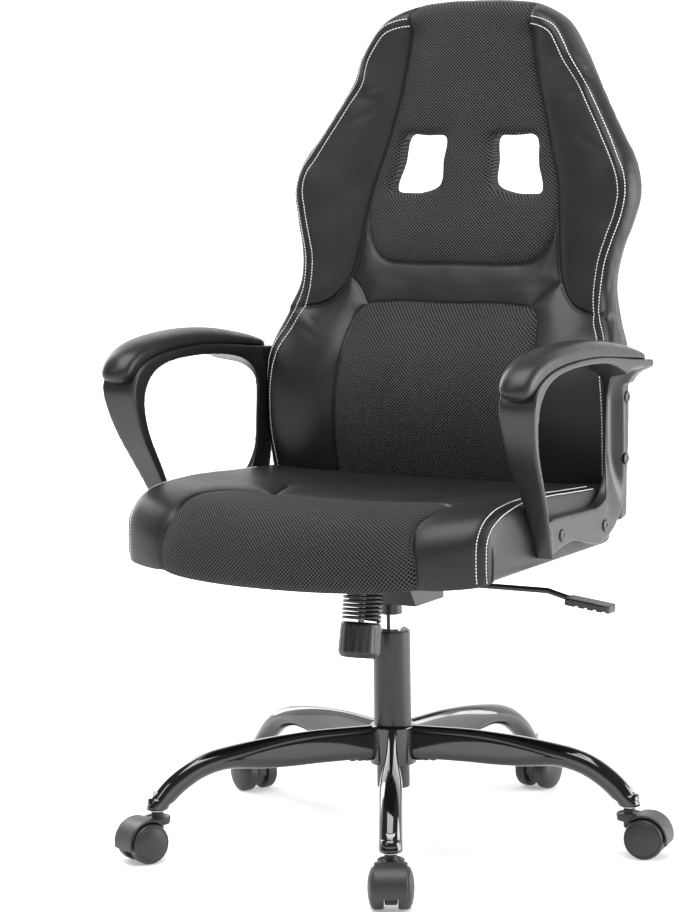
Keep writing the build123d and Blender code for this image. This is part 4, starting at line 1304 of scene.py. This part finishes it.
def make_caster_hood(index):
    """Hood over the wheels: the CAD form made narrower and rounder, with a cup round the stem."""
    hood = copy_of(f"caster_hood_{index + 1}", f"caster_cover_{index + 1}", M["caster"])
    frame_here = caster_frame(index)
    hood.data.transform(frame_here.inverted())
    places = coords(hood) / MM
    wide = np.abs(places[:, 1]) > CASTER_CORE
    places[wide, 1] *= HOOD_HALF / CAD_HOOD_HALF
    set_coords(hood, places * MM)
    cup = lathe("cup_part", round_profile(CUP_PROFILE, 1.0, 4), M["caster"], 48)
    joined = bmesh.new()
    joined.from_mesh(hood.data)
    joined.from_mesh(cup.data)
    joined.to_mesh(hood.data)
    joined.free()
    bpy.data.objects.remove(cup)
    remesh(hood, 0.0013, 5)
    hood.data.transform(frame_here)
    shade_smooth(hood)
    return hood


# ---- put it together -------------------------------------------------------------------------
def settle(piece, body, slot, *nodes):
    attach(piece, body)
    if nodes:
        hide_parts(*nodes)


def node_on(side, *names):
    return next(name for name in names if (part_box(name)[0].x > 0) == (side > 0))


def build():
    make_camera()
    for name, place, target, size, power in LIGHTS:
        area_light(name, place, target, size, power)
    make_stage(backdrop_material())
    world = bpy.data.worlds.new("studio")
    world.use_nodes = True
    world.node_tree.nodes["Background"].inputs[0].default_value = (1, 1, 1, 1)
    world.node_tree.nodes["Background"].inputs[1].default_value = WORLD_LIGHT
    bpy.context.scene.world = world
    bpy.context.scene.view_settings.view_transform = "Standard"

    back, back_lines = make_back()
    settle(back, "seat", "cover_leather", "back_cover", "back_foam")
    tree = BVHTree.FromObject(back, bpy.context.evaluated_depsgraph_get())
    rows = []
    for line, _ in back_lines:
        line = line[line[:, 1] > 425]
        ahead = np.full(len(line), 60.0)
        points = np.stack([line[:, 0], ahead, line[:, 1]], 1)
        hits = [tree.ray_cast(Vector(p * MM), Vector((0, 1, 0)), 0.4) for p in points]
        good = [(np.array(h[0]) / MM, np.array(h[1])) for h in hits if h[0] is not None]
        rows.append((np.array([g[0] for g in good]), np.array([g[1] for g in good])))
    stitches = sew("back_stitches", tree, rows)
    settle(stitches, "seat", "cover_leather")

    seat, seat_lines = make_seat()
    settle(seat, "seat", "cover_leather", "seat_cover", "seat_foam")
    tree = BVHTree.FromObject(seat, bpy.context.evaluated_depsgraph_get())
    stitches = sew("seat_stitches", tree, seat_lines)
    settle(stitches, "seat", "cover_leather")

    for side, word in ((-1, "left"), (1, "right")):
        node = node_on(side, "arm_left", "arm_right")
        arm = make_arm(node, f"arm_frame_{word}", side)
        settle(arm, "seat", "black_plastic", node)
        node = node_on(side, "arm_pad_left", "arm_pad_right")
        pad = make_pad(f"arm_rest_{word}", side)
        settle(pad, "seat", "pad_leather", node)

    settle(make_bolt_heads(), "seat", "spring_steel", "arm_bolts")

    for index in range(5):
        settle(make_caster_hood(index), f"caster_{index + 1}", "caster_plastic", f"caster_hood_{index + 1}")
        settle(make_leg(index), "base", "base_steel", f"base_leg_{index + 1}")
        settle(make_wheels(index), f"wheels_{index + 1}", "caster_plastic", f"caster_wheels_{index + 1}")
    settle(make_hub(), "base", "base_steel", "base_hub")
    settle(make_knob(), "knob", "black_plastic", "tension_knob")
    make_spring()

    slots = {part["node"]: part["material_slot"] for part in frame["record"]["subparts"]}
    for name, node in NODES.items():
        look = NODE_LOOK.get(name) or SLOT_LOOK[slots[name]]
        node.data.materials.clear()
        node.data.materials.append(M[look])


LIGHTS = (
    ("light_top", (0.2, -0.7, 3.0), (0, 0, 0.4), (2.6, 2.2), 120),
    ("light_right", (3.0, 1.6, 1.1), (0, 0, 0.55), (2.2, 2.2), 130),
    ("light_left", (-2.4, 0.9, 1.6), (0, 0, 0.7), (1.0, 2.4), 40),
    ("light_front", (-1.4, -3.2, 2.6), (0, 0, 0.7), (1.0, 1.0), 14))
WORLD_LIGHT = 0.2
NODE_LOOK = {"back_board": "lining", "lift_tube": "satin_steel", "thrust_bearing": "bearing",
             "lever_handle": "plastic", "arm_bolts": "dark_steel", "tension_spring": "dark_steel",
             "lever_rod": "satin_steel"}
build()
